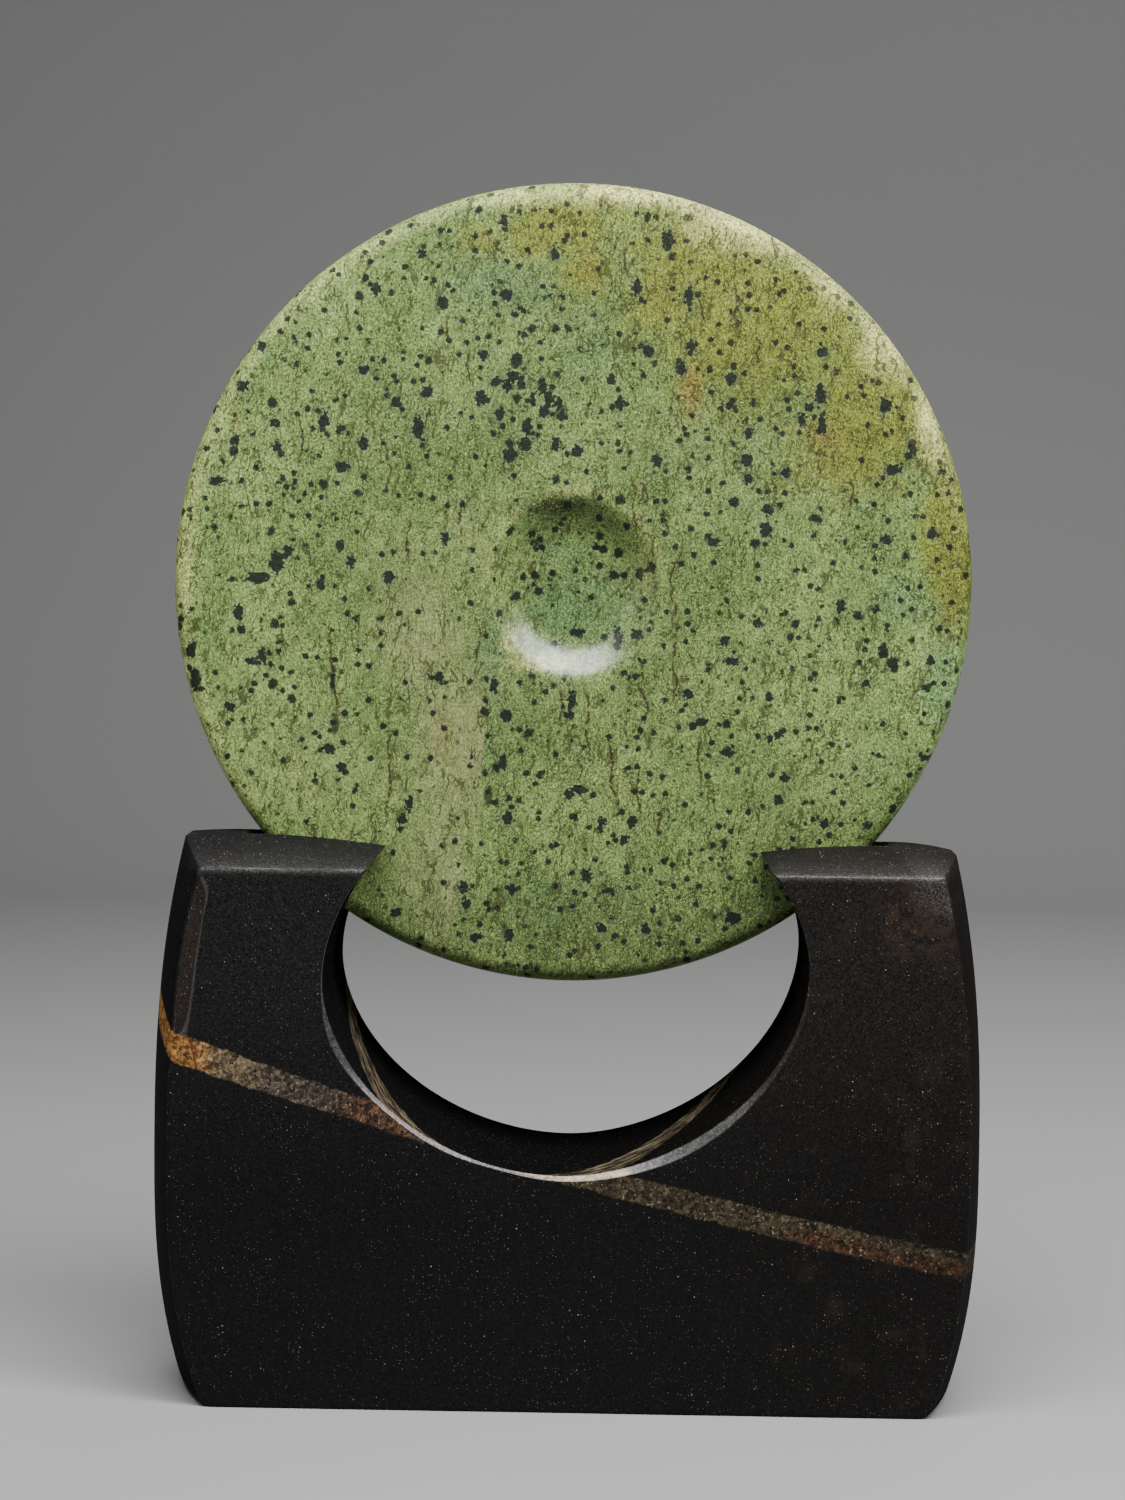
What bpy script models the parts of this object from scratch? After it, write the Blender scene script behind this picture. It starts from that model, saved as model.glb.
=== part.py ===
"""A round greenstone disc standing on edge in a black stone stand.

Metres, +Z up, the table at z = 0. The hollowed face of the disc looks along -Y. The disc is turned
about its own axis. The stand is a block whose top and sides are crowned from front to back. An oval
runs through it from front to back and is open at the top between two horns, and one round cut along
the disc's plane leaves a slot in each horn, on whose inner ends the rim of the disc rests.
"""

import math

import bpy
import numpy as np

# Disc
DISC_RADIUS = 0.100
DISC_THICKNESS = 0.010
RIM_ROUND_WIDTH = 0.0055
DIMPLE_RADIUS = 0.0215
DIMPLE_DEPTH = 0.0048
DIMPLE_LIP_ROUND = 0.0030

# Stand: the block seen from the front, at mid depth where it is widest
STAND_DEPTH = 0.059
STAND_HALF_WIDTH = 0.1045
WIDEST_HEIGHT = 0.058
SHOULDER_DRAW_IN = 0.0078
FOOT_DRAW_IN = 0.0074
SIDE_CURVE_POWER = 2.6
FOOT_ROUND = 0.0030

# Stand: the horns' tops at mid depth, low arches of which the left one stands a little higher
HORN_HEIGHT = 0.14015
HORN_UNEVENNESS = 0.00055
HORN_PEAK_INSET = 0.0225
TIP_FALL = 0.0025
LEFT_CORNER_FALL = 0.0008
RIGHT_CORNER_FALL = 0.0019

# Stand: how far the top and the sides fall back from mid depth to the front and back faces
TOP_CROWN = 0.0062
LEFT_CROWN = 0.0071
RIGHT_CROWN = 0.0048
END_CROWN_GAIN = 0.0016
CROWN_POWER = 1.6
FACE_EDGE_ROUND = 0.0010

# Opening through the stand
OPENING_HALF_WIDTH = 0.0596
OPENING_HALF_HEIGHT = 0.0495
OPENING_BELOW_HORNS = 0.0316
OPENING_POWER = 1.88
OPENING_TILT = math.radians(3.5)
OPENING_CHAMFER = 0.0012

# Slots, whose round floor is wider than the disc, so that the rim rests on their inner ends alone
SEAT_BELOW_HORNS = 0.0189
SEAT_GAP = 0.0003
SLOT_SIDE_CLEARANCE = 0.0004
SLOT_RADIUS_EXTRA = 0.0125

# Fineness of the facets
DISC_STEPS = 90
RIM_STEPS = 12
BOWL_STEPS = 7
LIP_STEPS = 4
SIDE_STEPS = 16
TOP_STEPS = 32
FOOT_ROUND_STEPS = 4
DEPTH_STEPS = 12
OPENING_STEPS = 96
SLOT_STEPS = 160
CORNER_ROUNDS = 8
CUT_MARGIN = 0.004
SHARP_ANGLE = math.radians(30)
AXIS_MERGE = 0.00001

# What follows from these sizes
FACE_TOP_HEIGHT = HORN_HEIGHT - TOP_CROWN
HORN_PEAK_X = STAND_HALF_WIDTH - HORN_PEAK_INSET
OPENING_MIDDLE_HEIGHT = HORN_HEIGHT - OPENING_BELOW_HORNS
SEAT_HEIGHT = HORN_HEIGHT - SEAT_BELOW_HORNS


def clear_scene():
    for old in list(bpy.data.objects):
        bpy.data.objects.remove(old)


def new_collection(name):
    made = bpy.data.collections.new(name)
    bpy.context.scene.collection.children.link(made)
    return made


def stone(name, colour, roughness):
    made = bpy.data.materials.new(name)
    made.use_nodes = True
    shader = made.node_tree.nodes["Principled BSDF"]
    shader.inputs["Base Color"].default_value = (*colour, 1.0)
    shader.inputs["Roughness"].default_value = roughness
    shader.inputs["Metallic"].default_value = 0.0
    return made


def add_mesh(name, points, edges, faces, collection):
    mesh = bpy.data.meshes.new(name)
    mesh.from_pydata([tuple(map(float, point)) for point in points], edges, faces)
    made = bpy.data.objects.new(name, mesh)
    collection.objects.link(made)
    return made


def loft(name, rings, collection):
    """A closed solid through rings of equal length, first to last, each end closed by a flat face."""
    count = len(rings[0])
    here = np.arange(count)
    after = np.roll(here, -1)
    walls = [
        np.stack([low + here, low + after, low + count + after, low + count + here], axis=1)
        for low in count * np.arange(len(rings) - 1)
    ]
    last = count * (len(rings) - 1)
    faces = np.concatenate(walls).tolist() + [here[::-1].tolist(), (last + here).tolist()]
    return add_mesh(name, np.concatenate(rings), [], faces, collection)


def cut(target, cutter):
    cutter.hide_render = True
    cutter.display_type = "WIRE"
    boolean = target.modifiers.new(f"cut {cutter.name}", "BOOLEAN")
    boolean.operation = "DIFFERENCE"
    boolean.object = cutter


def smooth(made):
    made.data.shade_smooth()
    made.data.set_sharp_from_angle(angle=SHARP_ANGLE)


def arc(middle, radius, start, end, steps):
    """Points on a circle in the section plane; angles run from the axis direction outwards."""
    angle = np.linspace(start, end, steps + 1)
    return np.stack([middle[0] + radius * np.sin(angle), middle[1] + radius * np.cos(angle)], axis=1)


def opening_half_width(height):
    """Half width of the oval at a height over its middle, before it is tilted."""
    up = (height - OPENING_MIDDLE_HEIGHT) / OPENING_HALF_HEIGHT
    return OPENING_HALF_WIDTH * (1 - up**OPENING_POWER) ** (1 / OPENING_POWER)


def disc_section():
    """Half of the disc's section, from the dimple's floor out over the rim to the middle of the back."""
    half = DISC_THICKNESS / 2
    bowl_radius = (DIMPLE_RADIUS**2 + DIMPLE_DEPTH**2) / (2 * DIMPLE_DEPTH)
    bowl_middle = half - DIMPLE_DEPTH + bowl_radius
    lip_middle_height = half - DIMPLE_LIP_ROUND
    rise = bowl_middle - lip_middle_height
    lip_middle = math.sqrt((bowl_radius + DIMPLE_LIP_ROUND) ** 2 - rise**2)
    meet = math.atan2(lip_middle, rise)
    bowl = arc((0, bowl_middle), bowl_radius, math.pi, math.pi - meet, BOWL_STEPS)
    lip = arc((lip_middle, lip_middle_height), DIMPLE_LIP_ROUND, -meet, 0, LIP_STEPS)
    turn = np.linspace(0, math.pi, RIM_STEPS + 1)
    rim = np.stack(
        [DISC_RADIUS - RIM_ROUND_WIDTH * (1 - np.sin(turn)), half * np.cos(turn)], axis=1
    )
    return np.concatenate([bowl, lip[1:], rim, [(0.0, -half)]])


def disc_middle_height():
    """The disc's rim crosses the seat's height at the oval's sides, which gives the height of its middle."""
    return SEAT_HEIGHT + math.sqrt(DISC_RADIUS**2 - opening_half_width(SEAT_HEIGHT) ** 2)


def make_disc(collection, material):
    section = disc_section()
    points = np.stack([section[:, 0], np.zeros(len(section)), section[:, 1]], axis=1)
    edges = [(i, i + 1) for i in range(len(points) - 1)]
    disc = add_mesh("greenstone_disc", points, edges, [], collection)
    disc.location = (0, 0, disc_middle_height())
    disc.rotation_euler = (math.pi / 2, 0, 0)
    turned = disc.modifiers.new("turned about its axis", "SCREW")
    turned.steps = DISC_STEPS
    turned.render_steps = DISC_STEPS
    turned.use_merge_vertices = True
    turned.merge_threshold = AXIS_MERGE
    disc.data.materials.append(material)
    return disc


def ridge_half_width(height):
    """Half width of the block at mid depth: it draws in from its widest level to the shoulder and the foot."""
    up = np.clip((height - WIDEST_HEIGHT) / (HORN_HEIGHT - WIDEST_HEIGHT), 0, None)
    down = np.clip((WIDEST_HEIGHT - height) / WIDEST_HEIGHT, 0, None)
    shoulder = SHOULDER_DRAW_IN * up**SIDE_CURVE_POWER
    foot = FOOT_DRAW_IN * down**SIDE_CURVE_POWER
    under = np.clip(FOOT_ROUND - height, 0, FOOT_ROUND)
    return STAND_HALF_WIDTH - shoulder - foot - (FOOT_ROUND - np.sqrt(FOOT_ROUND**2 - under**2))


def half_width(height, crown, share):
    """Half width where the crown has fallen back by this share, a little more at the top and the foot."""
    middle = FACE_TOP_HEIGHT / 2
    return ridge_half_width(height) - (crown + END_CROWN_GAIN * (height / middle - 1) ** 2) * share


def top_height(x, share):
    """Height of the top: each horn is a low arch at mid depth, and its front and back edges are level."""
    from_peak = np.abs(x) - HORN_PEAK_X
    to_tip = HORN_PEAK_X - opening_half_width(HORN_HEIGHT - TIP_FALL)
    to_corner = STAND_HALF_WIDTH - SHOULDER_DRAW_IN - HORN_PEAK_X
    corner_fall = np.where(x < 0, LEFT_CORNER_FALL, RIGHT_CORNER_FALL)
    tip_side = TIP_FALL * (from_peak / to_tip) ** 2
    corner_side = corner_fall * (from_peak / to_corner) ** 2
    uneven = HORN_UNEVENNESS * x / HORN_PEAK_X
    ridge = HORN_HEIGHT - uneven - np.where(from_peak < 0, tip_side, corner_side)
    return ridge + (FACE_TOP_HEIGHT - ridge) * share


def corner_height(side, crown, share):
    """The height at which a side, 1 right or -1 left, meets the top, by trying the last answer again."""
    height = HORN_HEIGHT
    for _ in range(CORNER_ROUNDS):
        height = float(top_height(side * half_width(height, crown, share), share))
    return height


def block_ring(y, inset):
    """The block's outline at one depth, from the foot up the right side, over the top and down the left."""
    share = abs(2 * y / STAND_DEPTH) ** CROWN_POWER
    foot_turn = np.linspace(0, math.pi / 2, FOOT_ROUND_STEPS + 1)[:-1]
    rounded = FOOT_ROUND * (1 - np.cos(foot_turn))
    sides = []
    for side, crown in ((1, RIGHT_CROWN), (-1, LEFT_CROWN)):
        heights = np.linspace(FOOT_ROUND, corner_height(side, crown, share), SIDE_STEPS + 1)
        heights = np.concatenate([rounded, heights])
        sides.append(np.stack([side * half_width(heights, crown, share), heights], axis=1))
    right, left = sides
    x = np.linspace(right[-1, 0], left[-1, 0], TOP_STEPS + 1)[1:-1]
    over = np.stack([x, top_height(x, share)], axis=1)
    ring = np.concatenate([right, over, left[::-1]])
    middle = FACE_TOP_HEIGHT / 2
    scale_x = 1 - inset / STAND_HALF_WIDTH
    scale_z = 1 - inset / middle
    return np.stack(
        [ring[:, 0] * scale_x, np.full(len(ring), y), middle + (ring[:, 1] - middle) * scale_z], axis=1
    )


def make_block(collection):
    half = STAND_DEPTH / 2
    inner = half - FACE_EDGE_ROUND
    depths = np.concatenate([[-half], np.linspace(-inner, inner, DEPTH_STEPS + 1), [half]])
    insets = [FACE_EDGE_ROUND] + [0.0] * (DEPTH_STEPS + 1) + [FACE_EDGE_ROUND]
    rings = [block_ring(y, inset)[::-1] for y, inset in zip(depths, insets)]
    return loft("stone_stand", rings, collection)


def oval(y, grow):
    """The opening's outline: a superellipse, turned a little about its middle."""
    turn = 2 * math.pi * np.arange(OPENING_STEPS) / OPENING_STEPS
    bend = 2 / OPENING_POWER
    x = (OPENING_HALF_WIDTH + grow) * np.sign(np.cos(turn)) * np.abs(np.cos(turn)) ** bend
    z = (OPENING_HALF_HEIGHT + grow) * np.sign(np.sin(turn)) * np.abs(np.sin(turn)) ** bend
    tilted_x = x * math.cos(OPENING_TILT) - z * math.sin(OPENING_TILT)
    tilted_z = x * math.sin(OPENING_TILT) + z * math.cos(OPENING_TILT)
    return np.stack([tilted_x, np.full(len(turn), y), OPENING_MIDDLE_HEIGHT + tilted_z], axis=1)


def make_opening(collection):
    half = STAND_DEPTH / 2
    stations = (
        (-half - CUT_MARGIN, OPENING_CHAMFER + CUT_MARGIN),
        (-half + OPENING_CHAMFER, 0.0),
        (half - OPENING_CHAMFER, 0.0),
        (half + CUT_MARGIN, OPENING_CHAMFER + CUT_MARGIN),
    )
    rings = [oval(y, grow)[::-1] for y, grow in stations]
    return loft("oval opening", rings, collection)


def make_slots(collection):
    """One round cut for both slots, which passes just under the disc's rim where the rim is seated."""
    slot_radius = DISC_RADIUS + SLOT_RADIUS_EXTRA
    seat_half_span = opening_half_width(SEAT_HEIGHT)
    middle_height = SEAT_HEIGHT - SEAT_GAP + math.sqrt(slot_radius**2 - seat_half_span**2)
    bpy.ops.mesh.primitive_cylinder_add(
        vertices=SLOT_STEPS,
        radius=slot_radius,
        depth=DISC_THICKNESS + 2 * SLOT_SIDE_CLEARANCE,
        location=(0, 0, middle_height),
        rotation=(math.pi / 2, 0, 0),
    )
    made = bpy.context.object
    made.name = "slots"
    for holder in list(made.users_collection):
        holder.objects.unlink(made)
    collection.objects.link(made)
    return made


def make_stand(collection, cutters, material):
    stand = make_block(collection)
    stand.modifiers.new("flat facets", "TRIANGULATE")
    cut(stand, make_opening(cutters))
    cut(stand, make_slots(cutters))
    stand.data.materials.append(material)
    return stand


def main():
    clear_scene()
    parts = new_collection("greenstone disc")
    cutters = new_collection("cutters")
    green = stone("green stone", (0.21, 0.29, 0.13), 0.38)
    black = stone("black stone", (0.012, 0.011, 0.010), 0.42)
    smooth(make_disc(parts, green))
    smooth(make_stand(parts, cutters, black))


main()
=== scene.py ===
"""The looks of the greenstone disc in its black stone stand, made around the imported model.

Metres, +Z up, the table at z = 0. The hollowed face of the disc and the front of the stand look along
-Y. Both stones are surfaces worked out with numpy; what their materials draw on Object coordinates is
in millimetres.
"""

import math

import bmesh
import bpy
import numpy as np
from mathutils import Matrix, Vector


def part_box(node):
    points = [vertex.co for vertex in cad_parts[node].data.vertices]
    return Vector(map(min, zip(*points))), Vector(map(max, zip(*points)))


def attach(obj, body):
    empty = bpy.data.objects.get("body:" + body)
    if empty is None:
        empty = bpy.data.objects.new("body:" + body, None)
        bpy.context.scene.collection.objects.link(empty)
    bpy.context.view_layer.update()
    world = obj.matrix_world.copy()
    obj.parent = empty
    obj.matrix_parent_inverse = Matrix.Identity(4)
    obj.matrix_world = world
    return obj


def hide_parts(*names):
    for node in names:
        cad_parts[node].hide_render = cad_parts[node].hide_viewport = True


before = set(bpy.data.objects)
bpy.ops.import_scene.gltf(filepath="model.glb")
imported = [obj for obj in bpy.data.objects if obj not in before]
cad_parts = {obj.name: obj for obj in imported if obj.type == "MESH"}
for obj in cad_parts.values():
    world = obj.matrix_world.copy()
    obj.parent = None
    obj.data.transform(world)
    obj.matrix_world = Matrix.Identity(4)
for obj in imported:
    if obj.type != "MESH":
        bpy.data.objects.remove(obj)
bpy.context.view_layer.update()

MM = 0.001

# Camera, found from the outlines of the disc, the stand and its opening in the photograph
IMAGE_WIDTH = 1125
IMAGE_HEIGHT = 1500
CAMERA_PLACE = np.array([0.016955, -0.839905, 0.222325])
CAMERA_YAW = math.radians(-1.291)
CAMERA_PITCH_DOWN = math.radians(4.119)
CAMERA_ROLL = math.radians(0.653)
LENS_MM = 80.296
SENSOR_MM = 36.0

# Disc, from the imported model; the shown rim stays just inside the modelled one
disc_low, disc_high = (np.array(corner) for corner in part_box("greenstone_disc"))
DISC_MIDDLE = (disc_low + disc_high) / 2
SHOWN_INSIDE = 0.0001
DISC_RADIUS = (disc_high[0] - disc_low[0]) / 2 - SHOWN_INSIDE
DISC_HALF = (disc_high[1] - disc_low[1]) / 2
RIM_ROUND_WIDTH = 0.0044
RIM_ROUND_POWER = 2.25
RIM_WOBBLE = 0.00010
RIM_WAVES = ((1.0, 3, 0.4), (1.0, 5, 2.1), (0.6, 11, 0.0))
DIMPLE_SHIFT = (0.0007, -0.0008)
DIMPLE_HALF_WIDTH = 0.0209
DIMPLE_HALF_HEIGHT = 0.0226
DIMPLE_DEPTH = 0.0050
DIMPLE_WALL_RISE = 0.0138
DIMPLE_LIP_SOFTNESS = 0.00045
DIMPLE_FLOOR_SOFTNESS = 0.00060
FACE_RIPPLE = 0.00016
FACE_RIPPLE_LENGTH = 0.030
FACE_RIPPLE_SEED = 4

# Stand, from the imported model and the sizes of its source
stand_low, stand_high = (np.array(corner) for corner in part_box("stone_stand"))
STAND_DEPTH = stand_high[1] - stand_low[1]
STAND_HALF_WIDTH = (stand_high[0] - stand_low[0]) / 2
WIDEST_HEIGHT = 0.058
SHOULDER_DRAW_IN = 0.0078
FOOT_DRAW_IN = 0.0074
SIDE_CURVE_POWER = 2.6
FOOT_ROUND = 0.0030
HORN_HEIGHT = 0.14015
HORN_UNEVENNESS = 0.00055
HORN_PEAK_INSET = 0.0225
TIP_FALL = 0.0025
LEFT_CORNER_FALL = 0.0008
RIGHT_CORNER_FALL = 0.0019
TOP_CROWN = 0.0062
LEFT_CROWN = 0.0071
RIGHT_CROWN = 0.0048
END_CROWN_GAIN = 0.0016
CROWN_POWER = 1.6
OPENING_HALF_WIDTH = 0.0596
OPENING_HALF_HEIGHT = 0.0495
OPENING_BELOW_HORNS = 0.0316
OPENING_POWER = 1.88
OPENING_TILT = math.radians(3.5)
SEAT_BELOW_HORNS = 0.0189
SEAT_GAP = 0.0003
SLOT_SIDE_CLEARANCE = 0.0004
SLOT_RADIUS_EXTRA = 0.0125
SLOT_END_BETWEEN = (0.060, 0.100)

# Stand: what the solid leaves to this script
EDGE_ROUND = 0.0008
CORNER_ROUND = 0.0005
TIP_EDGE = 0.0004
CHAMFER = 0.0012
CHAMFER_BACK = 0.0011
CHAMFER_SWELLS = ((30, 20, 1.0), (-74, 11, 0.9), (-20, 10, -0.45), (-46, 10, -0.2))
CHAMFER_FADES = (60, 100)
CHAMFER_FADE_SHARE = 0.85
TIP_EASING = 0.12
FACET_WIDTH = 0.0037
FACET_DEPTH = 0.0013
FACET_FADES_IN = (0.088, 0.112)
FACET_FADES_OUT = (0.1245, 0.1335)
STAND_RIPPLE = 0.00014
STAND_RIPPLE_LENGTH = 0.034
STAND_RIPPLE_SEED = 8
TOP_DULLNESS = 0.60
SIDE_DULLNESS = 0.72
BORE_DULLNESS = (0.85, 0.97)
# Wear and painted highlight: grey along the horns' top edges, and over their tops lighter towards the front
EDGE_WEAR_AND_HIGHLIGHT_DEPTH = 0.0012
EDGE_WEAR_AND_HIGHLIGHT_DOWN = 0.0010
TOP_WEAR_AND_LIGHT = 0.48
TOP_WEAR_AND_LIGHT_FADE = 0.008

# What follows from these sizes
FACE_TOP_HEIGHT = HORN_HEIGHT - TOP_CROWN
HORN_PEAK_X = STAND_HALF_WIDTH - HORN_PEAK_INSET
OPENING_MIDDLE_HEIGHT = HORN_HEIGHT - OPENING_BELOW_HORNS
SEAT_HEIGHT = HORN_HEIGHT - SEAT_BELOW_HORNS
SLOT_HALF = DISC_HALF + SLOT_SIDE_CLEARANCE
SLOT_RADIUS = DISC_RADIUS + SHOWN_INSIDE + SLOT_RADIUS_EXTRA

# Fineness of the meshes
FACE_STEPS = 236
RIM_STEPS = 12
BACK_STEPS = 16
LIP_STEPS = 12
HORN_STEPS = 20
CORNER_STEPS = 10
SIDE_STEPS = 66
FOOT_STEPS = 6
BOTTOM_STEPS = 96
EDGE_STEPS = 6
DEPTH_STEPS = 14
SLOT_STEPS = 4
CAP_STEPS = 30
CAP_CROWDING = 1.8
SHARP_ANGLE = math.radians(32)
MERGE = 1e-7
FACE_TOLERANCE = FACET_DEPTH / 4
HALVINGS = 40
CORNER_TRIES = 8

# Unevenness of the polished faces: a mean of sine waves
RIPPLE_WAVES = 7
RIPPLE_LENGTHS = (0.7, 1.5)
RIPPLE_GAIN = 1.6

# Spots of the disc that stand out: middle x, middle y, width and height in pixels of the photograph
BIG_SPOTS = (
    (507, 295, 12, 10), (516, 360, 11, 11), (483, 355, 9, 9), (481, 398, 10, 15), (500, 414, 10, 12),
    (496, 381, 10, 9), (507, 386, 8, 9), (513, 376, 10, 9), (521, 383, 8, 11), (542, 386, 8, 13),
    (549, 398, 9, 15), (544, 411, 9, 12), (559, 403, 7, 12), (562, 416, 9, 9), (533, 399, 6, 10),
    (527, 427, 9, 13), (526, 444, 12, 10), (510, 455, 14, 12), (556, 445, 8, 12), (577, 451, 10, 11),
    (418, 428, 10, 20), (324, 420, 9, 16), (343, 467, 12, 10), (363, 443, 8, 12), (364, 370, 10, 8),
    (428, 391, 9, 9), (396, 402, 9, 12), (275, 423, 8, 9), (277, 447, 9, 10), (235, 440, 8, 10),
    (217, 481, 14, 8), (258, 577, 20, 11), (277, 562, 14, 20), (288, 551, 9, 12), (389, 577, 10, 12),
    (351, 562, 8, 10), (340, 546, 8, 9), (445, 538, 7, 11), (422, 254, 8, 9), (376, 289, 9, 10),
    (443, 303, 10, 12), (504, 221, 8, 12), (555, 254, 7, 12), (261, 346, 8, 9), (243, 386, 10, 9),
    (667, 240, 8, 20), (637, 288, 8, 14), (689, 297, 8, 20), (648, 351, 10, 11), (691, 347, 7, 12),
    (681, 369, 10, 11), (731, 379, 10, 11), (611, 380, 9, 9), (620, 404, 9, 12), (731, 405, 9, 8),
    (748, 434, 9, 9), (747, 460, 12, 12), (748, 479, 8, 10), (657, 461, 9, 12), (786, 473, 9, 9),
    (734, 502, 10, 9), (768, 510, 11, 9), (766, 530, 11, 14), (713, 542, 11, 8), (820, 394, 8, 20),
    (810, 407, 8, 8), (802, 420, 8, 13), (822, 423, 7, 20), (822, 352, 9, 9), (885, 406, 8, 17),
    (912, 449, 7, 15), (893, 470, 15, 9), (932, 534, 9, 10), (887, 540, 10, 8), (651, 568, 10, 10),
    (640, 574, 8, 12), (614, 576, 9, 8), (238, 613, 9, 15), (242, 630, 8, 8), (191, 650, 8, 14),
    (195, 679, 8, 20), (262, 656, 8, 14), (252, 661, 10, 7), (230, 706, 9, 9), (329, 749, 12, 8),
    (341, 767, 9, 8), (439, 677, 9, 10), (402, 819, 10, 9), (409, 804, 7, 14), (503, 762, 8, 14),
    (494, 686, 7, 14), (507, 716, 10, 12), (569, 715, 9, 9), (508, 818, 8, 14), (463, 888, 9, 12),
    (466, 904, 9, 9), (475, 938, 10, 8), (512, 889, 8, 11), (509, 935, 8, 10), (396, 912, 10, 9),
    (841, 606, 9, 12), (758, 623, 9, 8), (732, 661, 11, 9), (725, 641, 8, 9), (883, 652, 9, 13),
    (893, 664, 9, 12), (866, 684, 7, 9), (930, 660, 8, 8), (688, 694, 9, 10), (770, 698, 7, 8),
    (779, 735, 8, 8), (702, 722, 9, 8), (692, 726, 8, 8), (728, 752, 12, 8), (785, 778, 8, 9),
    (779, 800, 10, 9), (824, 824, 8, 9), (868, 826, 9, 8), (632, 822, 9, 10), (602, 822, 8, 9),
    (625, 839, 8, 8), (587, 876, 9, 13), (601, 928, 8, 9), (646, 929, 8, 9), (733, 918, 14, 12),
    (926, 758, 9, 6), (579, 790, 12, 9), (569, 794, 8, 9), (578, 633, 12, 6), (618, 640, 7, 22),
    (636, 635, 12, 9), (572, 700, 7, 18), (596, 548, 7, 7), (540, 548, 10, 6),
)

# Millimetres to a big spot where none is near
OPEN_DISTANCE = 6.0

# Cracks of the disc in pixels, each from its top down
CRACKS = (
    ((668, 515), (666, 527), (669, 533)),
    ((683, 545), (680, 557), (673, 568), (670, 578), (672, 588), (672, 600), (677, 607), (674, 617)),
    ((632, 482), (636, 492), (633, 505), (634, 520), (640, 532)),
    ((643, 485), (648, 497), (644, 506)),
    ((391, 732), (388, 748), (390, 765), (390, 790), (387, 803)),
    ((478, 625), (480, 636), (477, 650), (475, 662)),
    ((329, 627), (331, 645), (330, 658), (333, 670), (332, 683), (336, 698), (337, 712)),
    ((632, 583), (627, 587), (622, 593)),
    ((665, 806), (662, 813), (659, 822), (658, 832)),
    ((640, 660), (643, 675), (640, 690), (648, 705), (645, 722)),
    ((610, 745), (613, 765), (611, 785), (617, 800), (619, 814)),
    ((741, 682), (744, 693), (745, 704)),
    ((862, 829), (859, 836), (856, 843)),
    ((820, 449), (818, 462), (820, 476)),
    ((623, 251), (625, 264), (629, 278)),
    ((699, 298), (701, 310), (705, 324)),
    ((433, 404), (427, 418), (423, 432)),
    ((461, 508), (459, 522), (461, 536)),
    ((507, 446), (505, 458), (503, 474)),
    ((235, 436), (236, 448), (233, 462)),
    ((448, 318), (446, 332), (450, 348)),
    ((470, 350), (467, 368), (471, 384)),
    ((775, 225), (772, 240), (776, 256)),
    ((735, 285), (738, 300), (734, 318)),
    ((760, 340), (757, 356), (762, 372)),
    ((850, 478), (853, 492), (849, 508)),
    ((676, 640), (672, 660), (677, 684), (673, 702)),
    ((700, 740), (697, 760), (702, 782)),
    ((640, 770), (636, 790), (641, 815)),
    ((560, 690), (563, 706), (558, 724)),
    ((586, 692), (589, 712), (585, 735), (590, 752)),
    ((300, 420), (303, 440), (299, 462)),
    ((386, 452), (390, 470), (386, 490)),
    ((410, 520), (406, 540), (409, 562)),
)

# How softly a crack ends, and how far beside it it counts in full
CRACK_FADE = 0.0012
CRACK_REACH = 0.0015

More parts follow.
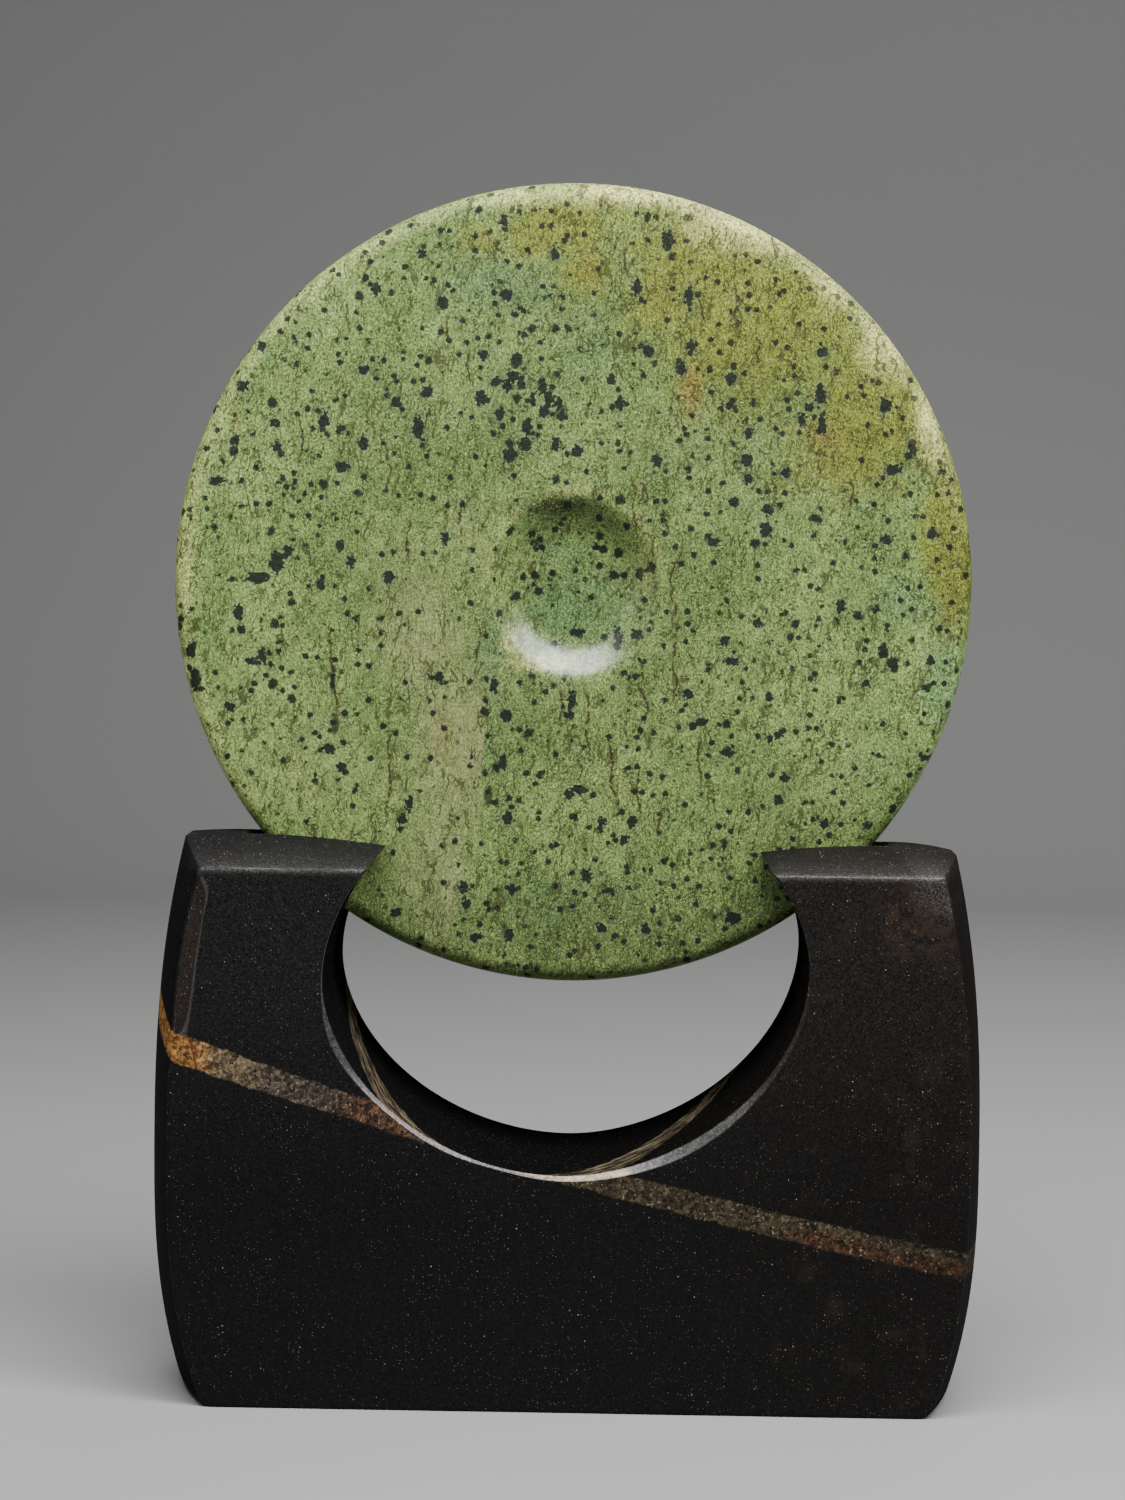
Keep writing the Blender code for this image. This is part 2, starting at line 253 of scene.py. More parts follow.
# Broad patches of the disc: middle x, middle y, half width and half height in pixels, and strength
PATCHES = {
    "olive": (
        (800, 300, 130, 80, 0.8), (880, 400, 90, 110, 0.9), (700, 255, 100, 55, 0.9),
        (560, 232, 75, 38, 0.85), (590, 270, 40, 32, 0.9), (955, 540, 38, 95, 1.0), (850, 450, 75, 60, 0.8),
        (480, 240, 40, 22, 0.6), (650, 215, 90, 30, 0.6), (735, 350, 100, 80, 0.82),
        (680, 290, 75, 60, 0.85), (800, 470, 50, 40, 0.6),
    ),
    "orange": (
        (692, 390, 15, 32, 1.0), (820, 440, 40, 28, 0.55), (590, 262, 24, 26, 0.6), (958, 600, 18, 34, 0.5),
        (810, 392, 22, 18, 0.45), (235, 425, 10, 24, 0.5), (660, 300, 30, 34, 0.4), (205, 690, 16, 30, 0.5),
        (280, 745, 20, 24, 0.4), (445, 740, 26, 42, 0.45), (486, 235, 22, 14, 0.5),
    ),
    "emerald": (
        (495, 285, 75, 38, 0.8), (590, 350, 40, 50, 0.6), (910, 600, 50, 42, 0.8), (945, 680, 35, 60, 0.9),
        (490, 655, 26, 55, 0.8), (480, 740, 20, 60, 0.6), (560, 560, 50, 50, 0.8), (770, 520, 70, 50, 0.5),
        (540, 900, 60, 50, 0.6), (575, 600, 70, 58, 1.0), (640, 880, 110, 60, 0.5), (300, 330, 60, 60, 0.4),
        (860, 760, 80, 50, 0.5), (540, 250, 40, 22, 0.5), (370, 500, 40, 60, 0.3), (770, 340, 40, 30, 0.5),
    ),
    "beige_and_wall_light": (
        (420, 640, 60, 90, 0.8), (460, 750, 55, 110, 1.0), (435, 880, 55, 90, 0.9), (390, 560, 45, 60, 0.4),
        (470, 530, 30, 60, 0.45), (405, 760, 45, 60, 0.5), (475, 650, 22, 60, 0.4),
        # The last two patches of the next row are painted light on the dimple's right wall
        (310, 755, 100, 80, 0.5), (642, 560, 18, 40, 0.4), (622, 530, 22, 16, 0.4),
    ),
    # Painted highlights along the upper and left rim and on the dimple's lower and right walls; the last
    # patch is paler stone at the lower left
    "highlight_and_pale": (
        (760, 222, 100, 38, 1.0), (888, 330, 44, 66, 0.85), (640, 194, 130, 16, 0.9),
        (930, 415, 26, 66, 0.8), (520, 200, 60, 14, 0.7), (345, 270, 60, 24, 0.3), (835, 275, 60, 50, 0.62),
        (185, 560, 14, 90, 0.6), (646, 570, 14, 36, 0.55), (540, 664, 56, 13, 0.8), (512, 640, 20, 22, 0.7),
        (300, 755, 70, 70, 0.35),
    ),
    # Painted shade: the shadow under the dimple's upper lip and under both horns, and the face darker
    # towards its middle and bottom
    "painted_shade": (
        (590, 620, 240, 300, 0.65), (610, 940, 260, 75, 1.2), (790, 840, 130, 80, 0.8),
        (425, 450, 110, 110, 0.7), (740, 430, 150, 90, 0.75), (560, 300, 130, 65, 0.6),
        (870, 470, 60, 50, 0.6), (560, 506, 54, 13, 2.0), (780, 892, 34, 38, 1.2), (955, 590, 28, 60, 0.7),
        (395, 590, 70, 70, 0.7), (560, 590, 44, 44, 0.95), (375, 868, 50, 34, 1.0),
    ),
    "dense": (
        (385, 335, 100, 80, 1.0), (290, 720, 70, 70, 0.9), (520, 410, 75, 90, 1.0),
        (520, 790, 60, 130, 1.0), (640, 860, 130, 90, 0.9), (890, 660, 60, 70, 0.9),
        (790, 700, 130, 130, 0.6), (480, 300, 90, 60, 0.7), (330, 440, 110, 70, 0.7),
        (620, 280, 130, 80, 0.6), (760, 460, 90, 80, 0.6), (250, 600, 50, 90, 0.7), (880, 480, 70, 80, 0.7),
    ),
    "brown": (
        (488, 795, 6, 15, 1.0), (335, 724, 5, 14, 1.0), (333, 680, 4, 26, 0.8), (490, 826, 4, 9, 0.7),
        (579, 765, 5, 14, 0.6), (618, 636, 5, 12, 0.7), (747, 470, 5, 16, 0.5),
    ),
}

# Right edge of the beige band in pixels, from its top down
BEIGE_EDGE = (
    (760, 540), (700, 570), (560, 608), (500, 640), (486, 674), (484, 760),
    (480, 836), (468, 880), (452, 960),
)
BEIGE_EDGE_SOFTNESS = 0.0007

# How much weaker the patches are on the back
BACK_PLAINNESS = 0.6


def camera_axes():
    """Right, up and forward of the camera: yaw and pitch set forward, and roll turns the others."""
    level = math.cos(CAMERA_PITCH_DOWN)
    forward = np.array(
        [math.sin(CAMERA_YAW) * level, math.cos(CAMERA_YAW) * level, -math.sin(CAMERA_PITCH_DOWN)]
    )
    right = np.array([math.cos(CAMERA_YAW), -math.sin(CAMERA_YAW), 0.0])
    up = np.cross(right, forward)
    rolled_right = math.cos(CAMERA_ROLL) * right + math.sin(CAMERA_ROLL) * up
    rolled_up = math.cos(CAMERA_ROLL) * up - math.sin(CAMERA_ROLL) * right
    return rolled_right, rolled_up, forward


def new_object(name, data):
    thing = bpy.data.objects.new(name, data)
    bpy.context.scene.collection.objects.link(thing)
    return thing


def make_camera():
    right, up, forward = camera_axes()
    turn = Matrix([[right[i], up[i], -forward[i]] for i in range(3)]).to_4x4()
    camera_data = bpy.data.cameras.new("camera")
    camera_data.sensor_fit = "VERTICAL"
    camera_data.sensor_height = SENSOR_MM
    camera_data.lens = LENS_MM
    camera = new_object("camera", camera_data)
    camera.matrix_world = Matrix.Translation(CAMERA_PLACE) @ turn
    bpy.context.scene.camera = camera


def seen_on_face(pixels):
    """Where pixels of the photograph lie on the disc's flat face: x and z from its middle, in metres."""
    right, up, forward = camera_axes()
    focal = LENS_MM / SENSOR_MM * IMAGE_HEIGHT
    pixels = np.asarray(pixels, float)
    across = (pixels[:, :1] - IMAGE_WIDTH / 2) / focal
    above = (IMAGE_HEIGHT / 2 - pixels[:, 1:2]) / focal
    ray = across * right + above * up + forward
    reach = (disc_low[1] - CAMERA_PLACE[1]) / ray[:, 1:2]
    place = CAMERA_PLACE + reach * ray - DISC_MIDDLE
    return place[:, (0, 2)]


def pixel_size():
    """The size of one pixel of the photograph on the disc's face, in metres."""
    return (disc_low[1] - CAMERA_PLACE[1]) * SENSOR_MM / (LENS_MM * IMAGE_HEIGHT)


def ripple(points, wavelength, seed):
    """A gentle unevenness from -1 to 1: the mean of sine waves of about this length, each its own way."""
    draw = np.random.default_rng(seed)
    waves = draw.normal(size=(RIPPLE_WAVES, 3))
    waves /= np.linalg.norm(waves, axis=1, keepdims=True)
    lengths = wavelength * draw.uniform(*RIPPLE_LENGTHS, RIPPLE_WAVES)
    starts = draw.uniform(0, 2 * math.pi, RIPPLE_WAVES)
    angle = points @ (waves * (2 * math.pi / lengths)[:, None]).T + starts
    return np.clip(np.sin(angle).mean(axis=-1) * RIPPLE_GAIN, -1, 1)


def smooth_step(value, low, high):
    """0 below low, 1 above high, and 3t² - 2t³ between."""
    t = np.clip((value - low) / (high - low), 0, 1)
    return t * t * (3 - 2 * t)


def add_piece(name, points, faces, material, fields):
    """A mesh from arrays of points and quads; fields are numbers for each point, read by the material."""
    mesh = bpy.data.meshes.new(name)
    mesh.from_pydata(points, [], faces)
    for field, values in fields.items():
        layer = mesh.attributes.new(field, "FLOAT", "POINT")
        layer.data.foreach_set("value", values.astype(np.float32))
    shape = bmesh.new()
    shape.from_mesh(mesh)
    bmesh.ops.remove_doubles(shape, verts=shape.verts, dist=MERGE)
    shape.to_mesh(mesh)
    shape.free()
    mesh.shade_smooth()
    mesh.set_sharp_from_angle(angle=SHARP_ANGLE)
    mesh.materials.append(material)
    return new_object(name, mesh)


def strips(low, high):
    """Quads between two equal rows of point numbers that close on themselves."""
    return np.stack([low, high, np.roll(high, -1), np.roll(low, -1)], axis=1)


def grid_faces(first, rows, columns, flipped=False):
    """Quads of a grid whose point numbers run row by row from the first."""
    number = first + np.arange(rows * columns).reshape(rows, columns)
    corners = [number[:-1, :-1], number[:-1, 1:], number[1:, 1:], number[1:, :-1]]
    quads = np.stack(corners, axis=-1).reshape(-1, 4)
    return quads[:, ::-1] if flipped else quads


# Disc


def soft_rise(value, softness):
    """The value where it is over nought, else nought, with a soft bend: s·ln(1 + exp(value/s))."""
    return softness * np.logaddexp(0, value / softness)


def dimple(x, z):
    """Depth of the face: a cone's straight wall, w(1 - q) with q the elliptic distance from the dimple's
    middle, that turns softly into the flat face above and into the flat floor below."""
    across = (x - DIMPLE_SHIFT[0]) / DIMPLE_HALF_WIDTH
    up = (z - DIMPLE_SHIFT[1]) / DIMPLE_HALF_HEIGHT
    wall = soft_rise(DIMPLE_WALL_RISE * (1 - np.hypot(across, up)), DIMPLE_LIP_SOFTNESS)
    return DIMPLE_DEPTH - soft_rise(DIMPLE_DEPTH - wall, DIMPLE_FLOOR_SOFTNESS)


def rim_radius(turn):
    """Radius of the rim all round: DISC_RADIUS less a sum of sines that goes from 0 to RIM_WOBBLE."""
    waves = sum(share * np.sin(count * turn + start) for share, count, start in RIM_WAVES)
    highest = sum(share for share, _, _ in RIM_WAVES)
    return DISC_RADIUS + RIM_WOBBLE * (waves - highest) / (2 * highest)


def disc_points():
    """The front is a square grid eased into a circle, x = a·√(1 - b²/2) and z = b·√(1 - a²/2). The rim is
    half a superellipse carried round it, and the back is rings that shrink to its middle."""
    step = np.linspace(-1, 1, FACE_STEPS + 1)
    a, b = np.meshgrid(step, step)
    front_x = a * np.sqrt(1 - b**2 / 2)
    front_z = b * np.sqrt(1 - a**2 / 2)
    number = np.arange(a.size).reshape(a.shape)
    border = np.concatenate([number[0, :-1], number[:-1, -1], number[-1, :0:-1], number[:0:-1, 0]])
    turn = np.arctan2(front_z.ravel(), front_x.ravel())
    out = np.hypot(front_x.ravel(), front_z.ravel())
    flat = rim_radius(turn) - RIM_ROUND_WIDTH
    x = out * flat * np.cos(turn)
    z = out * flat * np.sin(turn)
    front = np.stack([x, -DISC_HALF + dimple(x, z), z], axis=1)
    turn = turn[border]
    bend = np.linspace(0, math.pi, 2 * RIM_STEPS + 1)[1:, None]
    power = 2 / RIM_ROUND_POWER
    rim_out = rim_radius(turn) - RIM_ROUND_WIDTH * (1 - np.abs(np.sin(bend)) ** power)
    rim_y = -DISC_HALF * np.sign(np.cos(bend)) * np.abs(np.cos(bend)) ** power * np.ones_like(rim_out)
    back_out = (rim_radius(turn) - RIM_ROUND_WIDTH) * np.linspace(1, 0, BACK_STEPS + 1)[1:, None]
    ring_out = np.concatenate([rim_out, back_out])
    ring_y = np.concatenate([rim_y, np.full_like(back_out, DISC_HALF)])
    rings = np.stack([ring_out * np.cos(turn), ring_y, ring_out * np.sin(turn)], axis=-1)
    ring_numbers = a.size + np.arange(rings.shape[0] * rings.shape[1]).reshape(rings.shape[:2])
    rows = [border, *ring_numbers]
    faces = [grid_faces(0, *a.shape), *(strips(low, high) for low, high in zip(rows, rows[1:]))]
    return np.concatenate([front, rings.reshape(-1, 3)]), np.concatenate(faces)


def spot_distance(x, z):
    """Distance in millimetres to the edge of the nearest big spot, each an upright ellipse."""
    spots = np.array(BIG_SPOTS, float)
    middles = seen_on_face(spots[:, :2])
    halves = spots[:, 2:] * pixel_size() / 2
    nearest = np.full(x.shape, OPEN_DISTANCE)
    for (middle_x, middle_z), (half_x, half_z) in zip(middles, halves):
        reach = np.hypot((x - middle_x) / half_x, (z - middle_z) / half_z)
        nearest = np.minimum(nearest, (reach - 1) * min(half_x, half_z) / MM)
    return nearest


def crack_fields(x, z):
    """How far each point lies to the right of the nearest crack, in millimetres, and how much that counts:
    1 beside the crack, fading past its ends and away from it."""
    aside = np.zeros(x.shape)
    here = np.zeros(x.shape)
    for crack in CRACKS:
        line = seen_on_face(crack)[::-1]
        offset = x - np.interp(z, line[:, 1], line[:, 0])
        above_end = smooth_step(z, line[0, 1] - CRACK_FADE, line[0, 1] + CRACK_FADE)
        below_start = 1 - smooth_step(z, line[-1, 1] - CRACK_FADE, line[-1, 1] + CRACK_FADE)
        counts = above_end * below_start * np.clip(2 - np.abs(offset) / CRACK_REACH, 0, 1)
        aside = np.where(counts > here, offset / MM, aside)
        here = np.maximum(here, counts)
    return aside, here


def patch_strength(x, z, patches):
    """The strongest of some soft ellipses: strength · exp(-distance²)."""
    patches = np.array(patches, float)
    middles = seen_on_face(patches[:, :2])
    halves = patches[:, 2:4] * pixel_size()
    strongest = np.zeros(x.shape)
    for (middle_x, middle_z), (half_x, half_z), strength in zip(middles, halves, patches[:, 4]):
        reach = ((x - middle_x) / half_x) ** 2 + ((z - middle_z) / half_z) ** 2
        strongest = np.maximum(strongest, strength * np.exp(-reach))
    return strongest


def left_of_line(x, z, line, softness):
    """1 to the left of a line given from its top down in pixels and 0 to its right, softly."""
    line = seen_on_face(line)[::-1]
    aside = x - np.interp(z, line[:, 1], line[:, 0])
    return 1 - smooth_step(aside, -softness, softness)


def make_disc(material):
    """The disc, with what varies over it for its material and a slight ripple."""
    points, faces = disc_points()
    x, y, z = points.T
    in_front = y < 0
    plainer = 1 - BACK_PLAINNESS * smooth_step(y, 0, DISC_HALF)
    fields = {name: patch_strength(x, z, patches) * plainer for name, patches in PATCHES.items()}
    fields["beige_and_wall_light"] *= left_of_line(x, z, BEIGE_EDGE, BEIGE_EDGE_SOFTNESS)
    fields["brown"] *= in_front
    fields["spots"] = np.where(in_front, spot_distance(x, z), OPEN_DISTANCE)
    fields["crack_aside"], crack_here = crack_fields(x, z)
    fields["crack_here"] = crack_here * in_front
    sunk = FACE_RIPPLE * (1 + ripple(points, FACE_RIPPLE_LENGTH, FACE_RIPPLE_SEED)) / 2
    points[:, 1] -= np.sign(y) * sunk * smooth_step(np.abs(y), 0, DISC_HALF)
    piece = add_piece("disc_stone", points + DISC_MIDDLE, faces, material, fields)
    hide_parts("greenstone_disc")
    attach(piece, "root")


# Stand: the same formulas as in the solid's source


def ridge_half_width(height):
    """Half width at mid depth: from its widest level the block draws in to the shoulder and the foot."""
    up = np.clip((height - WIDEST_HEIGHT) / (HORN_HEIGHT - WIDEST_HEIGHT), 0, None)
    down = np.clip((WIDEST_HEIGHT - height) / WIDEST_HEIGHT, 0, None)
    shoulder = SHOULDER_DRAW_IN * up**SIDE_CURVE_POWER
    foot = FOOT_DRAW_IN * down**SIDE_CURVE_POWER
    under = np.clip(FOOT_ROUND - height, 0, FOOT_ROUND)
    return STAND_HALF_WIDTH - shoulder - foot - (FOOT_ROUND - np.sqrt(FOOT_ROUND**2 - under**2))


def half_width(height, crown, share):
    """Half width where the crown has fallen back by this share, a little more at the top and the foot."""
    middle = FACE_TOP_HEIGHT / 2
    return ridge_half_width(height) - (crown + END_CROWN_GAIN * (height / middle - 1) ** 2) * share


def opening_half_width(height):
    """Half width of the oval at a height over its middle, before it is tilted."""
    up = (height - OPENING_MIDDLE_HEIGHT) / OPENING_HALF_HEIGHT
    return OPENING_HALF_WIDTH * (1 - up**OPENING_POWER) ** (1 / OPENING_POWER)


def top_height(x, share):
    """Height of the top: each horn is a low arch at mid depth, and its front and back edges are level."""
    from_peak = np.abs(x) - HORN_PEAK_X
    to_tip = HORN_PEAK_X - opening_half_width(HORN_HEIGHT - TIP_FALL)
    to_corner = STAND_HALF_WIDTH - SHOULDER_DRAW_IN - HORN_PEAK_X
    corner_fall = np.where(x < 0, LEFT_CORNER_FALL, RIGHT_CORNER_FALL)
    tip_side = TIP_FALL * (from_peak / to_tip) ** 2
    corner_side = corner_fall * (from_peak / to_corner) ** 2
    uneven = HORN_UNEVENNESS * x / HORN_PEAK_X
    ridge = HORN_HEIGHT - uneven - np.where(from_peak < 0, tip_side, corner_side)
    return ridge + (FACE_TOP_HEIGHT - ridge) * share


def crown_share(y):
    """How far the crown has fallen back at a depth: |2y / depth| to a power."""
    return np.abs(2 * y / STAND_DEPTH) ** CROWN_POWER


def oval(turn, grow):
    """Points (x, z) of the opening's outline: a superellipse, turned a little about its middle."""
    bend = 2 / OPENING_POWER
    x = (OPENING_HALF_WIDTH + grow) * np.sign(np.cos(turn)) * np.abs(np.cos(turn)) ** bend
    z = (OPENING_HALF_HEIGHT + grow) * np.sign(np.sin(turn)) * np.abs(np.sin(turn)) ** bend
    tilted_x = x * math.cos(OPENING_TILT) - z * math.sin(OPENING_TILT)
    tilted_z = x * math.sin(OPENING_TILT) + z * math.cos(OPENING_TILT)
    return np.stack([tilted_x, OPENING_MIDDLE_HEIGHT + tilted_z], axis=-1)


def crossing(height_over, start, end):
    """The place between start and end where a steadily changing quantity is nought, by halving."""
    rising = height_over(end) > 0
    for _ in range(HALVINGS):
        middle = (start + end) / 2
        if (height_over(middle) > 0) == rising:
            end = middle
        else:
            start = middle
    return (start + end) / 2


def slot_middle_height():
    """The slots' circle passes just under the disc's rim where the rim is seated."""
    return SEAT_HEIGHT - SEAT_GAP + math.sqrt(SLOT_RADIUS**2 - opening_half_width(SEAT_HEIGHT) ** 2)


def from_slot_circle(place):
    """How far a place (x, z) lies outside the slots' circle."""
    return math.hypot(place[0], place[1] - slot_middle_height()) - SLOT_RADIUS


def horn_turns(side):
    """Two turns of the oval with a horn's tip and slot between them: beside its middle, and well up."""
    return math.pi / 2 - side * math.pi / 2, math.pi / 2 - side * math.pi / 8


def tip_turn(side, y, inset, grow):
    """The oval's turn at a horn's tip, where the oval meets the top."""

    def over_top(turn):
        x, z = oval(turn, grow)
        return float(z - top_height(x, crown_share(y)) + inset)

    return crossing(over_top, *horn_turns(side))


def seat_turn(side):
    """The oval's turn where the slots' floor comes out of it."""
    return crossing(lambda turn: from_slot_circle(oval(turn, 0.0)), *horn_turns(side))


def slot_end_x(side):
    """Where the slots' floor comes out of a horn's top."""
    share = crown_share(SLOT_HALF)
    start, end = SLOT_END_BETWEEN
    return crossing(lambda x: from_slot_circle((x, float(top_height(x, share)))), side * start, side * end)


def horn_corner(side, crown, y, inset):
    """Where a side, 1 right or -1 left, meets the top at a depth, by trying the last answer again."""
    share = crown_share(y)
    height = HORN_HEIGHT
    for _ in range(CORNER_TRIES):
        x = side * (half_width(height, crown, share) - inset)
        height = float(top_height(x, share)) - inset
    return float(x), height


# The two sides: direction along X, name and fall of the crown
SIDES = ((-1, "left", LEFT_CROWN), (1, "right", RIGHT_CROWN))

# Sections of the outer path and their steps
SECTIONS = (
    ("left lip", LIP_STEPS), ("left horn", HORN_STEPS), ("left corner", CORNER_STEPS),
    ("left side", SIDE_STEPS), ("left foot", FOOT_STEPS), ("bottom", BOTTOM_STEPS),
    ("right foot", FOOT_STEPS), ("right side", SIDE_STEPS), ("right corner", CORNER_STEPS),
    ("right horn", HORN_STEPS), ("right lip", LIP_STEPS),
)
OUTER_COUNT = sum(steps for _, steps in SECTIONS)
OVAL_STEPS = OUTER_COUNT - 2 * LIP_STEPS
RING_COUNT = 2 * OUTER_COUNT


def section_slices():
    """Which points of the outer path belong to each section."""
    slices = {}
    start = 0
    for name, steps in SECTIONS:
        slices[name] = slice(start, start + steps)
        start += steps
    return slices


SLICE = section_slices()


def spread(start, end, steps):
    """Equal steps from start, without the end, which the next stretch begins with."""
    return np.linspace(start, end, steps + 1)[:-1]


def along(side, first, last, steps):
    """Equal steps in the outline's one direction: from first to last on the left, and back on the right."""
    return spread(first, last, steps) if side < 0 else spread(last, first, steps)


def top_points(x, share, inset):
    """Points (x, z) of the top at these places across."""
    return np.stack([x, top_height(x, share) - inset], axis=1)


def side_points(side, crown, z, share, inset):
    """Points (x, z) of a side at these heights."""
    return np.stack([side * (half_width(z, crown, share) - inset), z], axis=1)


def outer_path(y, inset, tip_grow):
    """The block's outline from the left tip over the left side, the bottom and the right side to the
    right tip, at a depth and an inset given for each point. Each corner of a horn is a parabola's arc."""
    share = crown_share(y)
    place = np.zeros((OUTER_COUNT, 2))
    for side, word, crown in SIDES:
        lip, horn, corner, wall, foot = (
            SLICE[f"{word} {name}"] for name in ("lip", "horn", "corner", "side", "foot")
        )
        near_tip = 0 if side < 0 else -1
        tip_x = float(oval(tip_turn(side, y[near_tip], inset[near_tip], tip_grow), tip_grow)[0])
        end_x = slot_end_x(side)
        middle = (corner.start + corner.stop) // 2
        corner_x, corner_z = horn_corner(side, crown, y[middle], inset[middle])
        top_end = corner_x - side * CORNER_ROUND
        side_end = corner_z - CORNER_ROUND
        place[lip] = top_points(along(side, tip_x, end_x, LIP_STEPS), share[lip], inset[lip])
        place[horn] = top_points(along(side, end_x, top_end, HORN_STEPS), share[horn], inset[horn])
        wall_z = along(side, side_end, FOOT_ROUND, SIDE_STEPS)
        place[wall] = side_points(side, crown, wall_z, share[wall], inset[wall])
        above = top_points(np.array([top_end]), share[middle], inset[middle])
        below = side_points(side, crown, np.array([side_end]), share[middle], inset[middle])
        bend = along(side, 0, 1, CORNER_STEPS)[:, None]
        sharp = np.array([corner_x, corner_z])
        place[corner] = (1 - bend) ** 2 * above + 2 * bend * (1 - bend) * sharp + bend**2 * below
        foot_z = FOOT_ROUND * (1 - np.cos(along(side, math.pi / 2, 0, FOOT_STEPS)))
        place[foot] = side_points(side, crown, foot_z, share[foot], inset[foot])
        place[foot, 1] += inset[foot] * (1 - foot_z / FOOT_ROUND)
    bottom = SLICE["bottom"]
    ends = [
        side * (half_width(0.0, crown, share[bottom.start]) - inset[bottom.start])
        for side, _, crown in SIDES
    ]
    place[bottom, 0] = spread(*ends, BOTTOM_STEPS)
    place[bottom, 1] = inset[bottom]
    return place


def inner_turns(y, inset, tip_grow):
    """The oval's turns from the right tip past the right seat, the bottom and the left seat to the left
    tip."""
    full = 2 * math.pi
    right_tip = tip_turn(1, y, inset, tip_grow)
    left_tip = tip_turn(-1, y, inset, tip_grow) - full
    stops = [right_tip, seat_turn(1), seat_turn(-1) - full, left_tip]
    counts = [LIP_STEPS, OVAL_STEPS, LIP_STEPS]
    return np.concatenate([spread(*ends) for ends in zip(stops, stops[1:], counts)])


def chamfer_width(turns):
    """Width of the chamfer round the front of the opening: a width with bell-shaped swells, each given as
    degrees from the bottom, reach in degrees and share. It is almost gone at the tips."""
    from_bottom = np.degrees(turns) + 90
    swells = sum(
        share * np.exp(-(((from_bottom - at) / reach) ** 2)) for at, reach, share in CHAMFER_SWELLS
    )
    fading = 1 - CHAMFER_FADE_SHARE * smooth_step(np.abs(from_bottom), *CHAMFER_FADES)
    return CHAMFER * (1 + swells) * fading


def facet_strength(height):
    """The soft facet on the upper left front edge: from 0 above the vein to 1, and to 0 below the top."""
    return smooth_step(height, *FACET_FADES_IN) * (1 - smooth_step(height, *FACET_FADES_OUT))


def slot_arc(ring):
    """The ring with each horn's tip replaced by the slots' floor: an arc from its top to the oval."""
    middle = slot_middle_height()
    changed = ring.copy()
    numbers = np.arange(RING_COUNT)
    right = numbers[OUTER_COUNT - LIP_STEPS : OUTER_COUNT + LIP_STEPS + 1]
    left = np.roll(numbers, LIP_STEPS)[: 2 * LIP_STEPS + 1]
    for part in (right, left):
        start = math.atan2(ring[part[0], 0], middle - ring[part[0], 2])
        end = math.atan2(ring[part[-1], 0], middle - ring[part[-1], 2])
        angle = np.linspace(start, end, len(part))
        changed[part, 0] = SLOT_RADIUS * np.sin(angle)
        changed[part, 2] = middle - SLOT_RADIUS * np.cos(angle)
    return changed


def stand_ring(face, progress, depth_share):
    """One ring of the stand, closed: its outer path and then its inner path.

    face is -1 in front and 1 behind. progress goes from 0 at the flat face to 1 where the edges are
    done, and depth_share from 0 there to 1 at the slots."""
    half = STAND_DEPTH / 2
    facet = np.zeros(OUTER_COUNT)
    if face < 0:
        on_face = outer_path(np.full(OUTER_COUNT, half), np.zeros(OUTER_COUNT), 0.0)
        facet[SLICE["left side"]] = facet_strength(on_face[SLICE["left side"], 1])
    inset = EDGE_ROUND * (1 - math.sqrt(1 - (1 - progress) ** 2))
    turns = inner_turns(0.0, 0.0, 0.0)
    chamfer = chamfer_width(turns) if face < 0 else np.full(len(turns), CHAMFER_BACK)
    near_tip = smooth_step(np.minimum(turns - turns.min(), turns.max() - turns), 0, TIP_EASING)
    inner_depth = EDGE_ROUND + (np.maximum(chamfer, EDGE_ROUND) - EDGE_ROUND) * near_tip
    grow = TIP_EDGE + (chamfer - TIP_EDGE) * near_tip
    outer_y = -half + FACET_DEPTH * facet + EDGE_ROUND * progress
    inner_y = -half + inner_depth * progress
    if progress >= 1:
        outer_y = outer_y + (-SLOT_HALF - outer_y) * depth_share
        inner_y = inner_y + (-SLOT_HALF - inner_y) * depth_share
    tip_grow = TIP_EDGE * (1 - progress)
    outer = outer_path(outer_y, np.full(OUTER_COUNT, inset), tip_grow)
    inner = oval(inner_turns(inner_y[0], inset, tip_grow), grow * (1 - progress))
    x, z = np.concatenate([outer, inner]).T
    return np.stack([x, -face * np.concatenate([outer_y, inner_y]), z], axis=1)


def cap_rows(ring):
    """The flat face between the outer and the inner path of a ring, as rows that crowd to the outer edge.

    Where the outer path is set back, only the last FACET_WIDTH of the face slopes to it. The second
    result is 1 at that edge and falls to 0 where the slope begins."""
    outer = np.concatenate([ring[:OUTER_COUNT], ring[OUTER_COUNT : OUTER_COUNT + 1]])
    inner = np.concatenate([ring[:1], ring[:OUTER_COUNT:-1], ring[OUTER_COUNT : OUTER_COUNT + 1]])
    share = 1 - (1 - np.linspace(0, 1, CAP_STEPS + 1)) ** CAP_CROWDING
    rows = inner + (outer - inner) * share[:, None, None]
    from_edge = np.linalg.norm((rows - outer)[..., (0, 2)], axis=-1)
    slope = np.clip(1 - from_edge / FACET_WIDTH, 0, 1)
    set_back = outer[:, 1] - inner[:, 1]
    rows[..., 1] = inner[:, 1] + set_back * slope
    return rows, slope * np.abs(set_back) / FACET_DEPTH


